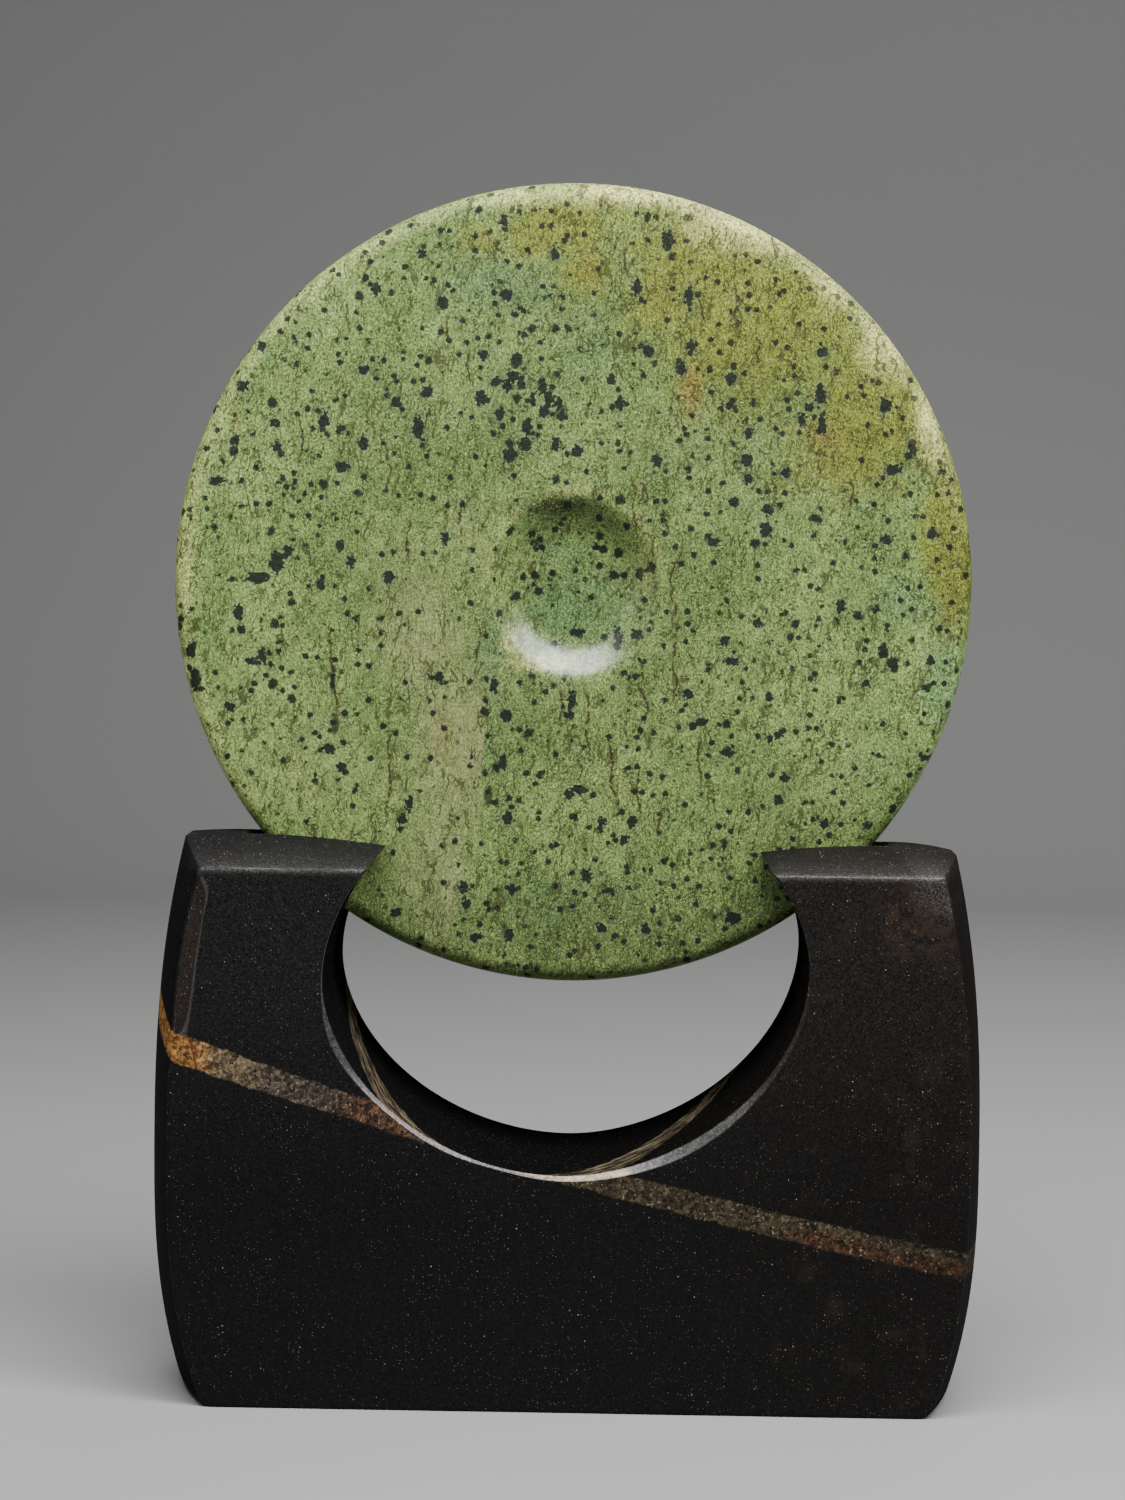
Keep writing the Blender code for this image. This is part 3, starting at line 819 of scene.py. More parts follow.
def stand_points():
    """Rings from the front face to the back face, with the slots' arc between the slots' sides, and a
    cap on each face."""
    edge_rows = np.linspace(0, 1, EDGE_STEPS + 1)
    stages = [(progress, 0.0) for progress in edge_rows]
    stages += [(1.0, depth) for depth in np.linspace(0, 1, DEPTH_STEPS + 1)[1:]]
    front, back = ([stand_ring(face, *stage) for stage in stages] for face in (-1, 1))
    start = front[-1]
    end = back[-1]
    slotted = [slot_arc(start + (end - start) * t) for t in np.linspace(0, 1, SLOT_STEPS + 1)]
    rings = np.array(front + slotted + back[::-1])
    done = [progress for progress, _ in stages]
    progress = np.array(done + [1.0] * len(slotted) + done[::-1])
    first = rings.shape[0] * RING_COUNT
    numbers = np.arange(first).reshape(-1, RING_COUNT)
    faces = [strips(low, high) for low, high in zip(numbers, numbers[1:])]
    points = [rings.reshape(-1, 3)]
    facet = [np.zeros(first)]
    for ring, flipped in ((rings[0], True), (rings[-1], False)):
        rows, slope = cap_rows(ring)
        faces.append(grid_faces(first, *slope.shape, flipped))
        points.append(rows.reshape(-1, 3))
        facet.append(slope.ravel())
        first += slope.size
    points = np.concatenate(points)
    on_oval = np.repeat([0.0, 1.0], OUTER_COUNT)
    dull = on_oval.copy()
    for name, _ in SECTIONS:
        flank = name == "bottom" or name.endswith(("side", "foot"))
        dull[SLICE[name]] = SIDE_DULLNESS if flank else TOP_DULLNESS
    spare = np.zeros(len(points) - rings.shape[0] * RING_COUNT)
    fields = {
        "dull": np.concatenate([np.outer(progress >= 1, dull).ravel(), spare]),
        "chamfer": np.concatenate([np.outer((progress > 0) & (progress < 1), on_oval).ravel(), spare]),
        "facet": np.concatenate(facet),
    }
    return points, np.concatenate(faces), fields


def edge_wear_and_highlight(points):
    """Wear and painted highlight: 1 along the front and back edges of the horns' tops. It fades down the
    face within EDGE_WEAR_AND_HIGHLIGHT_DOWN,"""
    from_face = STAND_DEPTH / 2 - np.abs(points[:, 1])
    below_top = FACE_TOP_HEIGHT - points[:, 2]
    away = (from_face / EDGE_WEAR_AND_HIGHLIGHT_DEPTH) ** 2 + (np.clip(below_top, 0, None) / EDGE_WEAR_AND_HIGHLIGHT_DOWN) ** 2
    over = TOP_WEAR_AND_LIGHT * np.exp(-from_face / TOP_WEAR_AND_LIGHT_FADE) * (below_top < EDGE_ROUND)
    return np.maximum(np.exp(-away), over)


def make_stand(material):
    """The stand, with what varies over it for its material and a slight ripple on its flat faces."""
    points, faces, fields = stand_points()
    on_face = np.abs(points[:, 1]) > STAND_DEPTH / 2 - FACE_TOLERANCE
    fields["wear_and_highlight"] = edge_wear_and_highlight(points)
    sunk = STAND_RIPPLE * (1 + ripple(points, STAND_RIPPLE_LENGTH, STAND_RIPPLE_SEED)) / 2
    points[:, 1] -= np.sign(points[:, 1]) * sunk * on_face
    piece = add_piece("stand_stone", points, faces, material, fields)
    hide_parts("stone_stand")
    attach(piece, "root")


# Materials

# The share of a near reach that is whole, and the softness of a grain's edge
NEAR_WHOLE = 0.3
GRAIN_SOFTNESS = 0.25


def operator(operation, reflected=False):
    """A method that adds a Math node for two numbers, with the other one first where it is reflected."""

    def work_out(self, other):
        pair = (other, self) if reflected else (self, other)
        return self.nodes.math(operation, *pair)

    return work_out


class Field:
    """A node's result: a number, a place or a colour that varies over a stone. The operators are for
    numbers, and each adds the Math node that works it out."""

    def __init__(self, nodes, socket):
        self.nodes = nodes
        self.socket = socket

    __add__ = operator("ADD")
    __radd__ = operator("ADD", reflected=True)
    __sub__ = operator("SUBTRACT")
    __rsub__ = operator("SUBTRACT", reflected=True)
    __mul__ = operator("MULTIPLY")
    __rmul__ = operator("MULTIPLY", reflected=True)
    __truediv__ = operator("DIVIDE")
    __pow__ = operator("POWER")
    __lt__ = operator("LESS_THAN")

    def __abs__(self):
        return self.nodes.math("ABSOLUTE", self, 0.0)


class MaterialNodes:
    """The nodes of one material. Places and sizes are in millimetres."""

    def __init__(self, name):
        self.material = bpy.data.materials.new(name)
        self.material.use_nodes = True
        self.tree = self.material.node_tree
        self.tree.nodes.clear()

    def add(self, kind, settings, values, *results):
        """Adds a node of this type, with its settings and then a value or a link for each socket. Gives
        the results that are named, or the first one."""
        node = self.tree.nodes.new(kind)
        for name, setting in settings.items():
            setattr(node, name, setting)
        sockets = {socket.identifier: socket for socket in node.inputs}
        for name, value in values.items():
            if isinstance(value, Field):
                self.tree.links.new(value.socket, sockets[name])
            else:
                sockets[name].default_value = value
        outputs = {socket.identifier: socket for socket in node.outputs}
        if not results:
            return Field(self, node.outputs[0])
        fields = [Field(self, outputs[name]) for name in results]
        return fields[0] if len(fields) == 1 else fields

    def math(self, operation, first, second):
        return self.add("ShaderNodeMath", {"operation": operation}, {"Value": first, "Value_001": second})

    def vector_math(self, operation, vector, **values):
        return self.add("ShaderNodeVectorMath", {"operation": operation}, {"Vector": vector, **values})

    def attribute(self, name):
        return self.add("ShaderNodeAttribute", {"attribute_name": name}, {}, "Fac")

    def millimetres(self, middle):
        """Object coordinates in millimetres from a middle given in metres."""
        place = self.add("ShaderNodeTexCoord", {}, {}, "Object")
        values = {"Vector": place, "Location": tuple(map(float, middle)), "Scale": (MM, MM, MM)}
        return self.add("ShaderNodeMapping", {"vector_type": "TEXTURE"}, values)

    def drawn_out(self, place, turn, sizes):
        """Coordinates turned and divided by a size each way, so that a pattern is drawn out along them."""
        values = {"Vector": place, "Rotation": turn, "Scale": sizes}
        return self.add("ShaderNodeMapping", {"vector_type": "TEXTURE"}, values)

    def parts(self, place):
        return self.add("ShaderNodeSeparateXYZ", {}, {"Vector": place}, "X", "Y", "Z")

    def noise(self, place, size, detail=2.0, rough=0.5):
        values = {"Vector": place, "Scale": 1 / size, "Detail": detail, "Roughness": rough}
        return self.add("ShaderNodeTexNoise", {}, values, "Fac")

    def patchy(self, place, size, low, high, detail=2.0, rough=0.5):
        """Noise made starker: 0 up to low and 1 from high on."""
        return self.fade(self.noise(place, size, detail, rough), low, high)

    def jitter(self, place, size, amount, detail=2.0, rough=0.5):
        """Noise about nought, by up to half an amount either way."""
        return (self.noise(place, size, detail, rough) - 0.5) * amount

    def stirred(self, place, size, amount):
        """Coordinates pushed about by up to half an amount, in eddies of a size."""
        eddies = self.add("ShaderNodeTexNoise", {}, {"Vector": place, "Scale": 1 / size}, "Color")
        centred = self.vector_math("SUBTRACT", eddies, Vector_001=(0.5, 0.5, 0.5))
        return self.vector_math("ADD", place, Vector_001=self.scaled(centred, amount))

    def scaled(self, vector, amount):
        """A place or a colour times an amount."""
        return self.vector_math("SCALE", vector, Scale=amount)

    def fade(self, value, start, end):
        """0 at start and 1 at end, with a smooth step between; start may be the larger."""
        values = {"Value": value, "From Min": start, "From Max": end}
        return self.add("ShaderNodeMapRange", {"interpolation_type": "SMOOTHSTEP"}, values)

    def near(self, x, z, middle_x, middle_z, reach):
        """1 beside a middle (x, z) at any depth, and 0 past a reach from it."""
        across = x - middle_x
        up = z - middle_z
        return self.fade((across * across + up * up) ** 0.5, reach, reach * NEAR_WHOLE)

    def mix(self, share, first, second):
        """Colours mixed by a share from 0 to 1."""
        values = {"Factor_Float": share, "A_Color": opaque(first), "B_Color": opaque(second)}
        return self.add("ShaderNodeMix", {"data_type": "RGBA"}, values, "Result_Color")

    def grains(self, place, size, share, smallest, largest):
        """Rounded grains, one in a share of the cells of a size, with radii from smallest to largest."""
        values = {"Vector": place, "Scale": 1 / size}
        distance, cell = self.add("ShaderNodeTexVoronoi", {}, values, "Distance", "Color")
        chance, draw = self.add("ShaderNodeSeparateColor", {}, {"Color": cell}, "Red", "Green")
        radius = draw * (largest - smallest) + smallest
        grain = self.fade(distance * size / radius, 1 + GRAIN_SOFTNESS, 1 - GRAIN_SOFTNESS)
        return grain * (chance < share)

    def finish(self, base, roughness, height, bump, constants):
        """A Principled shader with what varies linked, and its constants on its own sockets."""
        values = {"Height": height, "Distance": bump, "Strength": 1.0}
        normal = self.add("ShaderNodeBump", {}, values, "Normal")
        return self.surface({"Base Color": base, "Roughness": roughness, "Normal": normal, **constants})

    def surface(self, values):
        """Ends the material in a Principled shader with these values."""
        shader = self.add("ShaderNodeBsdfPrincipled", {}, values, "BSDF")
        output = self.tree.nodes.new("ShaderNodeOutputMaterial")
        self.tree.links.new(shader.socket, output.inputs["Surface"])
        return self.material


def opaque(tint):
    """A plain colour with the fourth number that a socket wants; a linked colour stays as it is."""
    return (*tint, 1.0) if isinstance(tint, tuple) else tint


# Colours of the green stone
SAGE = (0.192, 0.270, 0.080)
SHADE_SAGE = (0.128, 0.206, 0.056)
OLIVE = (0.160, 0.184, 0.025)
OCHRE = (0.250, 0.158, 0.030)
EMERALD = (0.120, 0.226, 0.084)
BEIGE_AND_WALL_LIGHT = (0.240, 0.270, 0.108)
# Cream of paler stone and of painted highlights
HIGHLIGHT_AND_PALE_CREAM = (0.580, 0.595, 0.205)
SPOT = (0.006, 0.010, 0.007)
SPOT_HALO = (0.110, 0.150, 0.085)
HAIRLINE = (0.042, 0.044, 0.012)
CRACK = (0.022, 0.022, 0.009)
CRACK_STAIN = (0.130, 0.115, 0.028)
BROWN = (0.022, 0.014, 0.010)
FLECK = (0.460, 0.500, 0.170)

# The green stone in millimetres from the disc's middle; each pair fades from 0 to 1
GRAIN_TURN = (0.0, math.radians(8), 0.0)
BACK_BEGINS = (1.0, 3.0)
# Painted highlight along the upper and left rim, where it turns up to the lamps
RIM_HIGHLIGHT_RADII = (94.0, 97.5)
RIM_HIGHLIGHT_HEIGHTS = (-50.0, 0.0)
RIM_HIGHLIGHT_LEAN = 0.5
# Painted light on the lower left and right of the rim, which turns down away from the lamps
LOW_RIM_LIGHT_RADII = (95.5, 99.5)
LOW_RIM_LIGHT_TOP = (10.0, -30.0)
LOW_RIM_LIGHT_BOTTOM = (-84.0, -68.0)
PALE_RING_HEIGHTS = (-6.0, 14.0)
GLOSS_HEIGHTS = (8.0, -6.0)
BIG_SPOT_EDGE = (0.30, 0.05)
SPOT_HALO_EDGE = (1.4, 0.0)
CRACK_EDGE = (0.46, 0.14)
CRACK_STAIN_EDGE = (1.4, 0.2)
GREEN_RELIEF = 0.08

# Reaches from the dimple's middle, where 1 is its edge
PALE_RING_REACH = 1.08
PALE_RING_WIDTH = 0.11
POLISH_REACH = (1.02, 0.94)


def along_grain(s, place, across, along_it):
    """Coordinates divided by a size across the stone's upright grain and by another along it."""
    return s.drawn_out(place, GRAIN_TURN, (across, across, along_it))


def dimple_reach(x, z):
    """Elliptic distance from the dimple's middle, 1 at its edge."""
    dimple_x, dimple_z = (shift / MM for shift in DIMPLE_SHIFT)
    across = (x - dimple_x) / (DIMPLE_HALF_WIDTH / MM)
    up = (z - dimple_z) / (DIMPLE_HALF_HEIGHT / MM)
    return (across * across + up * up) ** 0.5


def stone_colour(s, place, z, lip):
    """Broad colours of the green stone and its painted highlights on the rim and in the dimple, without its
    grain, cracks and spots.
    """
    edge = s.jitter(place, 11.0, 0.9, 4.0, 0.65)
    streak = s.patchy(along_grain(s, place, 1.3, 16.0), 1.0, 0.38, 0.62, 3.0, 0.6)
    tint = s.mix(s.patchy(place, 24.0, 0.36, 0.64, 3.0, 0.55), SAGE, SHADE_SAGE)
    tint = s.mix(s.fade(s.attribute("emerald") + edge, 0.25, 0.95) * 0.7, tint, EMERALD)
    beige_and_wall_light = s.fade(s.attribute("beige_and_wall_light") + edge * 0.5, 0.2, 0.9) * (0.35 + 0.6 * streak)
    tint = s.mix(beige_and_wall_light, tint, BEIGE_AND_WALL_LIGHT)
    tint = s.mix(s.fade(s.attribute("olive") + edge, 0.2, 0.75) * 0.92, tint, OLIVE)
    tint = s.mix(s.fade(s.attribute("orange") + edge, 0.25, 0.95) * 0.7, tint, OCHRE)
    # Painted highlights on the rim and in the dimple, and paler stone
    tint = s.mix(s.fade(s.attribute("highlight_and_pale") + edge * 0.8, 0.25, 0.95) * 0.74, tint, HIGHLIGHT_AND_PALE_CREAM)
    ring = s.fade(abs(lip - PALE_RING_REACH), PALE_RING_WIDTH, 0.0) * s.fade(z, *PALE_RING_HEIGHTS)
    return s.mix(ring * 0.17, tint, HIGHLIGHT_AND_PALE_CREAM)


def stone_spots(s, place, smooth):
    """Black spots from 0 to 1, and the distance in millimetres to the ragged edge of a big one."""
    chance = 0.60 + 0.40 * s.attribute("dense") - 0.50 * smooth
    medium = s.grains(s.stirred(place, 1.0, 1.6), 5.4, chance * 0.8 - 0.08, 0.75, 1.40)
    small = s.grains(s.stirred(place, 0.8, 1.2), 3.2, chance * 0.92, 0.46, 1.16)
    tiny = s.grains(s.stirred(place, 0.5, 0.7), 2.0, chance * 0.8, 0.22, 0.52)
    big_edge = s.attribute("spots") + s.jitter(place, 1.0, 2.4, 1.0)
    big = s.fade(big_edge, *BIG_SPOT_EDGE)
    return 1 - (1 - big) * (1 - medium) * (1 - small) * (1 - tiny * 0.75), big_edge


def green_stone():
    """Sage green with a fine upright grain, broad patches, black spots and hairlines, with painted
    highlights on the rim and in the dimple, and painted shade at the dimple's top, under the horns and
    towards the bottom.
    """
    s = MaterialNodes("green stone")
    place = s.millimetres(DISC_MIDDLE)
    x, y, z = s.parts(place)
    lip = dimple_reach(x, z) + 2 * s.fade(y, *BACK_BEGINS)
    tint = stone_colour(s, place, z, lip)
    radius = (x * x + z * z) ** 0.5
    # Painted highlight on the upper and left rim
    rim_highlight = s.fade(radius, *RIM_HIGHLIGHT_RADII) * s.fade(z - RIM_HIGHLIGHT_LEAN * x, *RIM_HIGHLIGHT_HEIGHTS)
    tint = s.mix(rim_highlight * 0.20, tint, HIGHLIGHT_AND_PALE_CREAM)

    wavy = s.stirred(place, 7.0, 6.0)
    fibre = s.patchy(along_grain(s, wavy, 0.40, 0.9), 1.0, 0.37, 0.63, 3.0, 0.75)
    crumb = s.patchy(place, 0.62, 0.38, 0.62, 3.0, 0.8)
    strand = s.patchy(along_grain(s, wavy, 1.6, 7.0), 1.0, 0.30, 0.70, 2.0, 0.6)
    mottle = s.patchy(place, 3.4, 0.30, 0.70, 3.0, 0.65)
    smooth = s.attribute("beige_and_wall_light")
    fine_grain = (0.36 * fibre + 0.36 * crumb + 0.95 * fibre * crumb) * (1 - 0.45 * smooth) + 0.28 * smooth
    brightness = fine_grain + 0.285 * strand + 0.34 * mottle
    # Painted light: the lower sides of the rim made brighter
    painted_low_rim_light = s.fade(radius, *LOW_RIM_LIGHT_RADII) * s.fade(z, *LOW_RIM_LIGHT_TOP) * s.fade(z, *LOW_RIM_LIGHT_BOTTOM)
    # The painted shade patches darken the face here
    tint = s.scaled(tint, brightness * (1 - 0.42 * s.attribute("painted_shade")) * (1 + 0.45 * painted_low_rim_light))
    flecks = s.patchy(along_grain(s, wavy, 0.32, 0.6), 1.0, 0.63, 0.70, 1.0)
    tint = s.mix(flecks * 0.55, tint, FLECK)

    wander = s.stirred(s.stirred(place, 5.0, 4.0), 1.2, 0.9)
    lines = s.noise(along_grain(s, wander, 2.2, 10.0), 1.0, 1.0)
    broken = s.noise(along_grain(s, place, 4.0, 8.0), 1.0) + 0.08 * s.attribute("olive")
    hairlines = s.fade(abs(lines - 0.5), 0.045, 0.012) * s.fade(broken, 0.45, 0.56)
    tint = s.mix(hairlines * 0.8, tint, HAIRLINE)
    from_crack = abs(s.attribute("crack_aside") + s.jitter(place, 1.5, 2.2, 3.0, 0.7))
    beside = s.attribute("crack_here")
    tint = s.mix(s.fade(from_crack, *CRACK_STAIN_EDGE) * beside * 0.24, tint, CRACK_STAIN)
    crack = s.fade(from_crack, *CRACK_EDGE) * beside * s.patchy(place, 1.6, 0.34, 0.46)
    tint = s.mix(crack * 0.9, tint, CRACK)
    brown = s.fade(s.attribute("brown") + s.jitter(place, 1.6, 0.9, 2.0, 0.6), 0.35, 0.75)
    tint = s.mix(brown * 0.85, tint, BROWN)

    spots, big_edge = stone_spots(s, place, smooth)
    tint = s.mix(s.fade(big_edge, *SPOT_HALO_EDGE) * 0.3, tint, SPOT_HALO)
    faded = s.fade(s.attribute("highlight_and_pale"), 0.3, 0.9) * 0.55
    tint = s.mix(spots * (1 - faded) * 0.96, tint, SPOT)
    polished = s.fade(lip, *POLISH_REACH)
    roughness = 0.42 - 0.14 * polished + 0.08 * (crumb - 0.5)
    relief = 0.5 * fibre + 0.5 * crumb + 0.6 * mottle - 0.9 * hairlines - 0.9 * crack - 0.2 * spots
    gloss = 0.64 * polished * s.fade(z, *GLOSS_HEIGHTS) * (0.70 + 0.30 * mottle)
    constants = {"Specular IOR Level": 0.20, "Coat Weight": gloss, "Coat Roughness": 0.25, "Coat IOR": 1.75}
    return s.finish(tint, roughness, relief * (1 - 0.5 * polished), GREEN_RELIEF * MM, constants)


# Colours of the black stone
BLACK = (0.0072, 0.0071, 0.0071)
WARM_BLACK = (0.0080, 0.0069, 0.0062)
FINE_SPECK = (0.20, 0.185, 0.16)
SPECK = (0.34, 0.31, 0.27)
# Grey of wear and of painted highlights
WORN_AND_HIGHLIGHT_GREY = (0.135, 0.130, 0.123)
# Grey of ground stone and of painted highlights on the chamfer
GROUND_AND_HIGHLIGHT_GREY = (0.260, 0.254, 0.246)
RUSTY = (0.030, 0.020, 0.014)
VEIN_AMBER = (0.32, 0.150, 0.045)
VEIN_PALE = (0.160, 0.120, 0.070)
VEIN_GREY = (0.075, 0.056, 0.042)
VEIN_BROWN = (0.086, 0.041, 0.020)
VEIN_OLIVE = (0.050, 0.039, 0.022)
VEIN_RUST = (0.056, 0.021, 0.010)
VEIN_SPARKLE = (0.40, 0.36, 0.30)
VEIN_STREAK = (0.120, 0.095, 0.060)
VEIN_GOLD = (0.46, 0.38, 0.27)

# The black stone in millimetres: spans are of x and heights of z, and each pair fades from 0 to 1
WARM_SPAN = (-20.0, 90.0)
# Painted light: the stand lighter towards its top
LIT_HEIGHTS = (45.0, 125.0)
RUST_SPAN = (30.0, 75.0)
FRONT_DEPTHS = (-27.0, -29.0)
STAIN_PLACE = (86.0, 124.0, 15.0)
WORN_CORNER_PLACE = (92.0, 132.0, 11.0)
# Painted light on the chamfer: brighter low down, and painted shade on its right part
GROUND_LIGHT_HEIGHTS = (86.0, 73.0)
GROUND_SHADE_SPAN = (14.0, 28.0)
CROSSING_EDGE = (5.0, 3.0)
CROSSING_SPAN = (-18.0, -8.0)
BLACK_RELIEF = 0.10

# The vein: its line across the front, its climb to the back and the spans of its colours
VEIN_HALF = 3.15
VEIN_EDGE = (0.35, -0.35)
VEIN_LEFT_GAIN = 0.5
VEIN_LEFT_SPAN = (-50.0, -90.0)
VEIN_LEVEL = 60.6
VEIN_FALL = 0.2654
VEIN_SAG = 0.000406
VEIN_CLIMB = 0.40
VEIN_CLIMB_GAIN = 0.0012
VEIN_LEVELS_OFF = (55.0, 110.0)
VEIN_LAYERS_TURN = (math.radians(22), 0.0, 0.0)
PALE_SPAN = (-91.0, -84.0)
GREY_SPAN = (-81.0, -72.0)
BROWN_SPAN = (-60.0, -50.0)
OLIVE_SPAN = (-38.0, 5.0)
RUSTY_SPAN = (50.0, 62.0)
DIM_SPAN = (78.0, 95.0)
RED_CRACK_LEFT = 91.0


def vein_height(s, x, y):
    """Height of the vein's middle plane: a sagging line across the front, which climbs towards the back."""
    front = VEIN_LEVEL - VEIN_FALL * x + VEIN_SAG * (x * x)
    climb = (VEIN_CLIMB + VEIN_CLIMB_GAIN * x) * (1 - s.fade(x, *VEIN_LEVELS_OFF))
    return front + climb * (y + STAND_DEPTH / 2 / MM)


def vein_colour(s, place, x, across, ragged, grit, facets, in_bore):
    """Quartz crystals in colours that change along the vein, with fine layers inside the opening."""
    smear = s.patchy(place, 3.0, 0.34, 0.66, 3.0, 0.65)
    quartz = s.mix(s.fade(x, *PALE_SPAN), VEIN_AMBER, VEIN_PALE)
    quartz = s.mix(s.fade(x, *GREY_SPAN), quartz, VEIN_GREY)
    quartz = s.mix(s.fade(x, *BROWN_SPAN) * (0.35 + 0.65 * smear), quartz, VEIN_BROWN)
    quartz = s.mix(s.fade(x, *OLIVE_SPAN), quartz, VEIN_OLIVE)
    rusty = s.fade(x, *RUSTY_SPAN) * s.fade(across + ragged * 1.6, 1.6, -0.8) * (0.45 + 0.55 * smear)
    quartz = s.mix(rusty, quartz, VEIN_RUST)
    coarse = s.patchy(place, 1.3, 0.36, 0.60, 3.0, 0.7)
    crystals = 0.04 + 0.40 * facets + 0.35 * grit + 0.85 * facets * coarse
    quartz = s.scaled(quartz, crystals * (0.66 + 0.62 * smear))
    sparkle = s.patchy(place, 0.8, 0.60, 0.68, 3.0, 0.75)
    quartz = s.mix(sparkle * 0.55, quartz, VEIN_SPARKLE)
    quartz = s.scaled(quartz, 1 - 0.35 * s.fade(x, *DIM_SPAN))
    red_crack = s.fade(abs(x + RED_CRACK_LEFT + 0.25 * across + ragged * 0.3), 0.45, 0.15)
    quartz = s.mix(red_crack * 0.8, quartz, VEIN_RUST)
    return s.mix(in_bore * 0.85, quartz, VEIN_STREAK)


def black_stone():
    """Near black with bright specks, browner on the right, crossed by one quartz vein, with painted light:
    lighter towards the top, lit edges and tops, and a lit chamfer.
    """
    s = MaterialNodes("black stone")
    place = s.millimetres((0.0, 0.0, 0.0))
    x, y, z = s.parts(place)
    dust = s.noise(place, 0.45, 2.0, 0.7)
    grit = s.fade(dust, 0.36, 0.64)
    dull = s.attribute("dull")
    in_front = s.fade(y, *FRONT_DEPTHS)
    tint = s.mix(s.fade(x + s.jitter(place, 26.0, 120.0, 3.0, 0.6), *WARM_SPAN), BLACK, WARM_BLACK)
    # Painted light and shade: lighter towards the top, and darker where the stone is duller, most in the
    # opening
    painted_light_and_shade = (0.56 + 0.88 * s.fade(z, *LIT_HEIGHTS)) * (1 - 0.30 * dull)
    tint = s.scaled(tint, (0.45 + grit) * painted_light_and_shade)
    rust = s.patchy(place, 9.0, 0.52, 0.72, 4.0, 0.7) * s.fade(x, *RUST_SPAN)
    tint = s.mix(rust * 0.3, tint, RUSTY)
    stain = s.near(x, z, *STAIN_PLACE) * s.patchy(place, 2.4, 0.44, 0.60, 4.0, 0.7) * in_front
    tint = s.mix(stain * 0.75, tint, RUSTY)
    facet = s.attribute("facet")
    tint = s.mix(s.fade(facet, 0.0, 0.15) * (0.15 + 0.45 * grit), tint, RUSTY)
    cluster = s.patchy(place, 9.0, 0.40, 0.60, 3.0, 0.6)
    hidden = 0.45 * s.fade(dull, TOP_DULLNESS, SIDE_DULLNESS)
    fine = s.grains(place, 0.8, 0.55, 0.08, 0.19) * (0.3 + 0.7 * cluster)
    tint = s.mix(fine * (0.70 - hidden), tint, FINE_SPECK)
    few = s.grains(place, 1.9, 0.18, 0.09, 0.22) * (0.25 + 0.75 * cluster)
    tint = s.mix(few * (0.78 - hidden), tint, SPECK)
    facet_line = s.fade(abs(facet - 0.07), 0.06, 0.0) * dust
    tint = s.mix(facet_line * 0.5, tint, WORN_AND_HIGHLIGHT_GREY)

    ragged = s.jitter(place, 5.0, 3.0, 3.0, 0.6) + s.jitter(place, 1.1, 1.4)
    across = z - vein_height(s, x, y)
    half = VEIN_HALF + VEIN_LEFT_GAIN * s.fade(x, *VEIN_LEFT_SPAN)
    vein = s.fade(abs(across) + ragged * 0.5 - half, *VEIN_EDGE)
    values = {"Vector": s.stirred(place, 0.7, 0.6), "Scale": 1.2}
    crystal = s.add("ShaderNodeTexVoronoi", {}, values, "Color")
    facets = s.add("ShaderNodeSeparateColor", {}, {"Color": crystal}, "Red")
    in_bore = s.fade(dull, *BORE_DULLNESS)
    streaks = s.patchy(s.drawn_out(place, VEIN_LAYERS_TURN, (6.0, 9.0, 0.6)), 1.0, 0.44, 0.62, 3.0, 0.65)
    quartz = vein_colour(s, place, x, across, ragged, grit, facets, in_bore)
    tint = s.mix(vein * (1 - in_bore * (1 - streaks) * 0.92), tint, quartz)

    worn_patchily = s.patchy(place, 1.6, 0.30, 0.66, 3.0, 0.7)
    frost = s.patchy(place, 0.50, 0.46, 0.62, 2.0, 0.85)
    # Wear and painted highlight on the top edges and the lit tops
    wear_and_highlight = s.attribute("wear_and_highlight") * (0.12 + 0.22 * worn_patchily + 0.66 * frost)
    tint = s.mix(wear_and_highlight * 0.62, tint, WORN_AND_HIGHLIGHT_GREY)
    tint = s.mix(s.near(x, z, *WORN_CORNER_PLACE) * in_front * frost * 0.42, tint, WORN_AND_HIGHLIGHT_GREY)
    chamfer = s.attribute("chamfer")
    # The chamfer: ground grey with a painted highlight, brighter low down where it faces up, and painted
    # shade over its right part
    ground_and_highlight = chamfer * (0.15 + 0.35 * worn_patchily + 0.50 * frost)
    ground_and_highlight = ground_and_highlight * (0.22 + 0.78 * s.fade(z, *GROUND_LIGHT_HEIGHTS)) * (1 - 0.62 * s.fade(x, *GROUND_SHADE_SPAN))
    crossing = s.fade(abs(across) + ragged * 0.6, *CROSSING_EDGE) * s.fade(x, *CROSSING_SPAN)
    tint = s.mix(ground_and_highlight * (1 - crossing), tint, GROUND_AND_HIGHLIGHT_GREY)
    tint = s.mix(crossing * chamfer * (0.3 + 0.7 * facets), tint, VEIN_GOLD)
    roughness = 0.44 + 0.16 * (dust - 0.5) + 0.18 * vein
    gloss = 0.24 * (1 - dull) + 0.10 * wear_and_highlight + 0.08 * ground_and_highlight
    height = 0.6 * dust + 0.6 * s.noise(place, 3.0, 3.0, 0.6) + vein * (0.8 * facets - 0.4)
    constants = {"Specular IOR Level": 0.0, "Coat Weight": gloss, "Coat Roughness": 0.28}
    return s.finish(tint, roughness, height, BLACK_RELIEF * MM, constants)


# Setting

FLOOR_TINT = (0.27, 0.27, 0.267)
FLOOR_ROUGHNESS = 0.9
FLOOR_HALF_WIDTH = 3.0
FLOOR_FRONT = -3.0
WALL_Y = 1.5
WALL_TOP = 0.95
COVE_RADIUS = 0.45
COVE_STEPS = 24

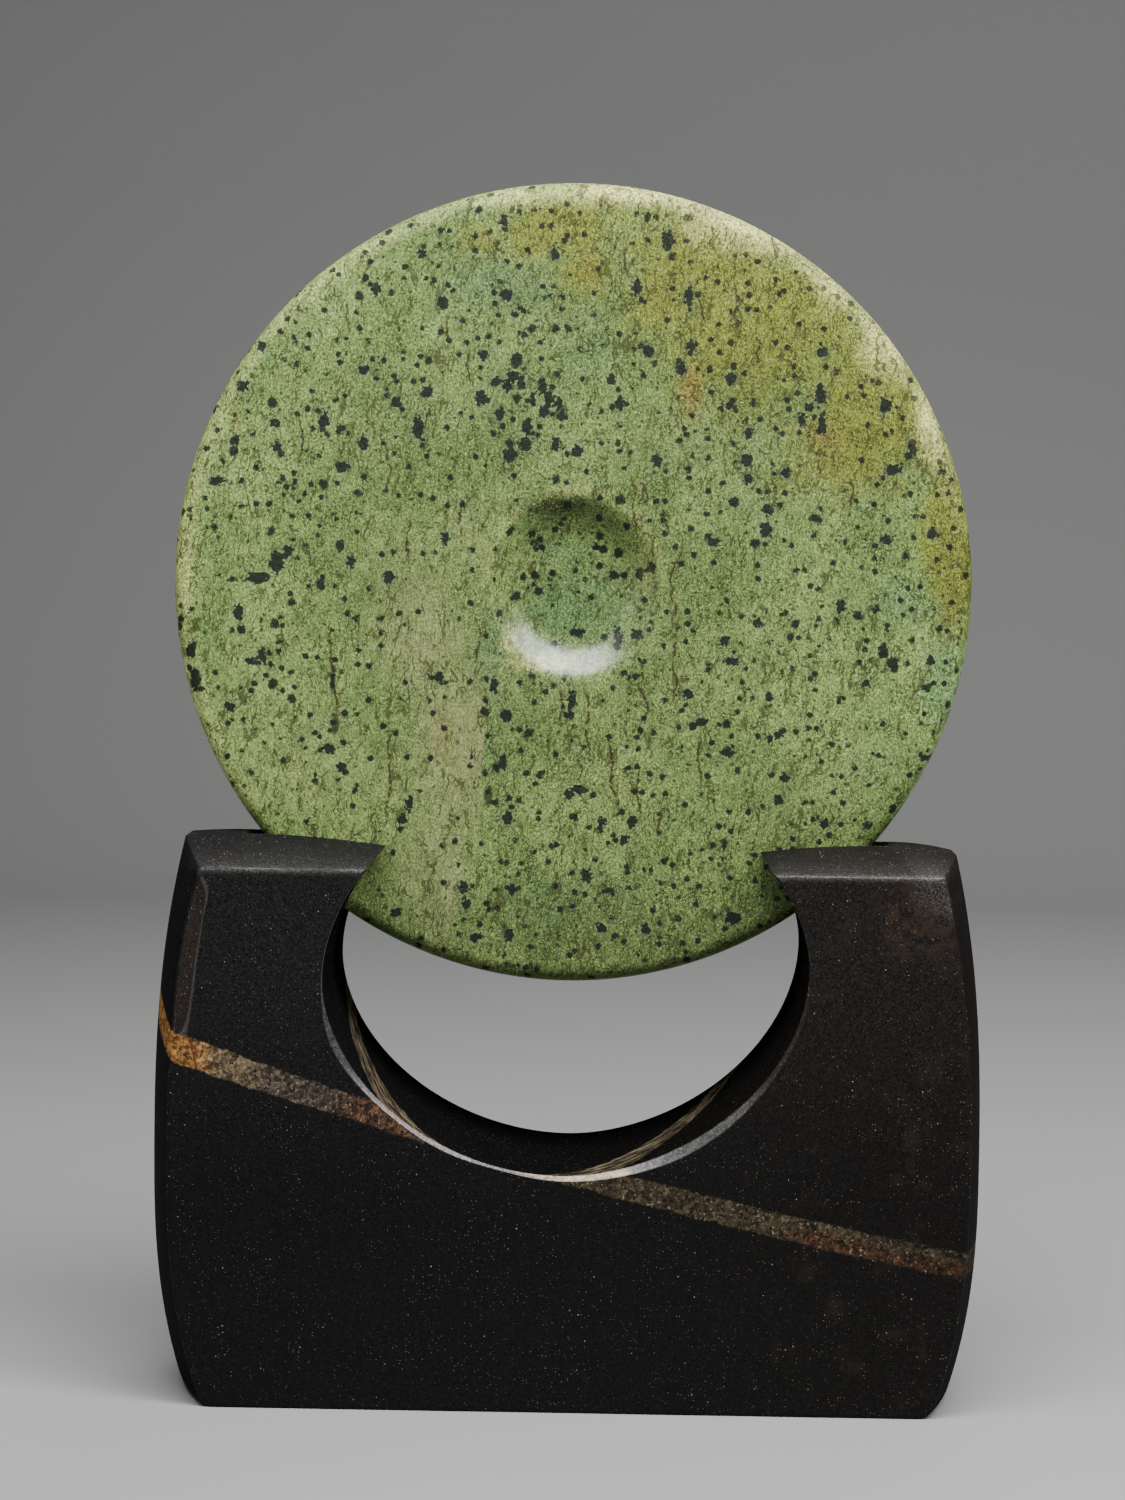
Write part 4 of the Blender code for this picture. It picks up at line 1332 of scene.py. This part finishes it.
# Lamps: name, place, where it shines, width, height and watts
LAMPS = (
    ("key", (0.32, -0.38, 0.85), (0.36, 0.0, 0.20), 1.46, 0.42, 31.0),
    ("fill", (-1.2, -1.15, 0.4), (0.0, 0.0, 0.15), 0.9, 0.9, 2.3),
    ("back", (0.3, 0.9, 1.0), (0.0, 0.0, 0.15), 0.6, 0.3, 3.0),
)
ROOM_TINT = (0.30, 0.30, 0.30)
ROOM_STRENGTH = 0.2


def make_floor():
    """A level floor that curves up into a low wall behind: one profile carried along X."""
    turn = np.linspace(0, math.pi / 2, COVE_STEPS + 1)
    cove_y = WALL_Y - COVE_RADIUS + COVE_RADIUS * np.sin(turn)
    cove_z = COVE_RADIUS * (1 - np.cos(turn))
    y = np.concatenate([[FLOOR_FRONT], cove_y, [WALL_Y]])
    z = np.concatenate([[0.0], cove_z, [WALL_TOP]])
    x = np.tile([-FLOOR_HALF_WIDTH, FLOOR_HALF_WIDTH], len(y))
    points = np.stack([x, np.repeat(y, 2), np.repeat(z, 2)], axis=1)
    nodes = MaterialNodes("pale floor")
    material = nodes.surface({"Base Color": opaque(FLOOR_TINT), "Roughness": FLOOR_ROUGHNESS})
    floor = add_piece("floor", points, grid_faces(0, len(y), 2), material, {})


def aim(place, target):
    """Turn of a lamp at place so that it shines at target."""
    away = np.array(place, float) - np.array(target, float)
    away /= np.linalg.norm(away)
    right = np.cross([0.0, 0.0, 1.0], away)
    right /= np.linalg.norm(right)
    up = np.cross(away, right)
    return Matrix([[right[i], up[i], away[i]] for i in range(3)]).to_4x4()


def make_light():
    """The lamps as soft panels, and a faint light from all round."""
    for name, place, target, width, height, watts in LAMPS:
        lamp = bpy.data.lights.new(name, "AREA")
        lamp.shape = "RECTANGLE"
        lamp.size = width
        lamp.size_y = height
        lamp.energy = watts
        new_object(name, lamp).matrix_world = Matrix.Translation(place) @ aim(place, target)
    world = bpy.data.worlds.new("room")
    world.use_nodes = True
    background = world.node_tree.nodes["Background"]
    background.inputs["Color"].default_value = opaque(ROOM_TINT)
    background.inputs["Strength"].default_value = ROOM_STRENGTH
    bpy.context.scene.world = world


make_camera()
make_disc(green_stone())
make_stand(black_stone())
make_floor()
make_light()
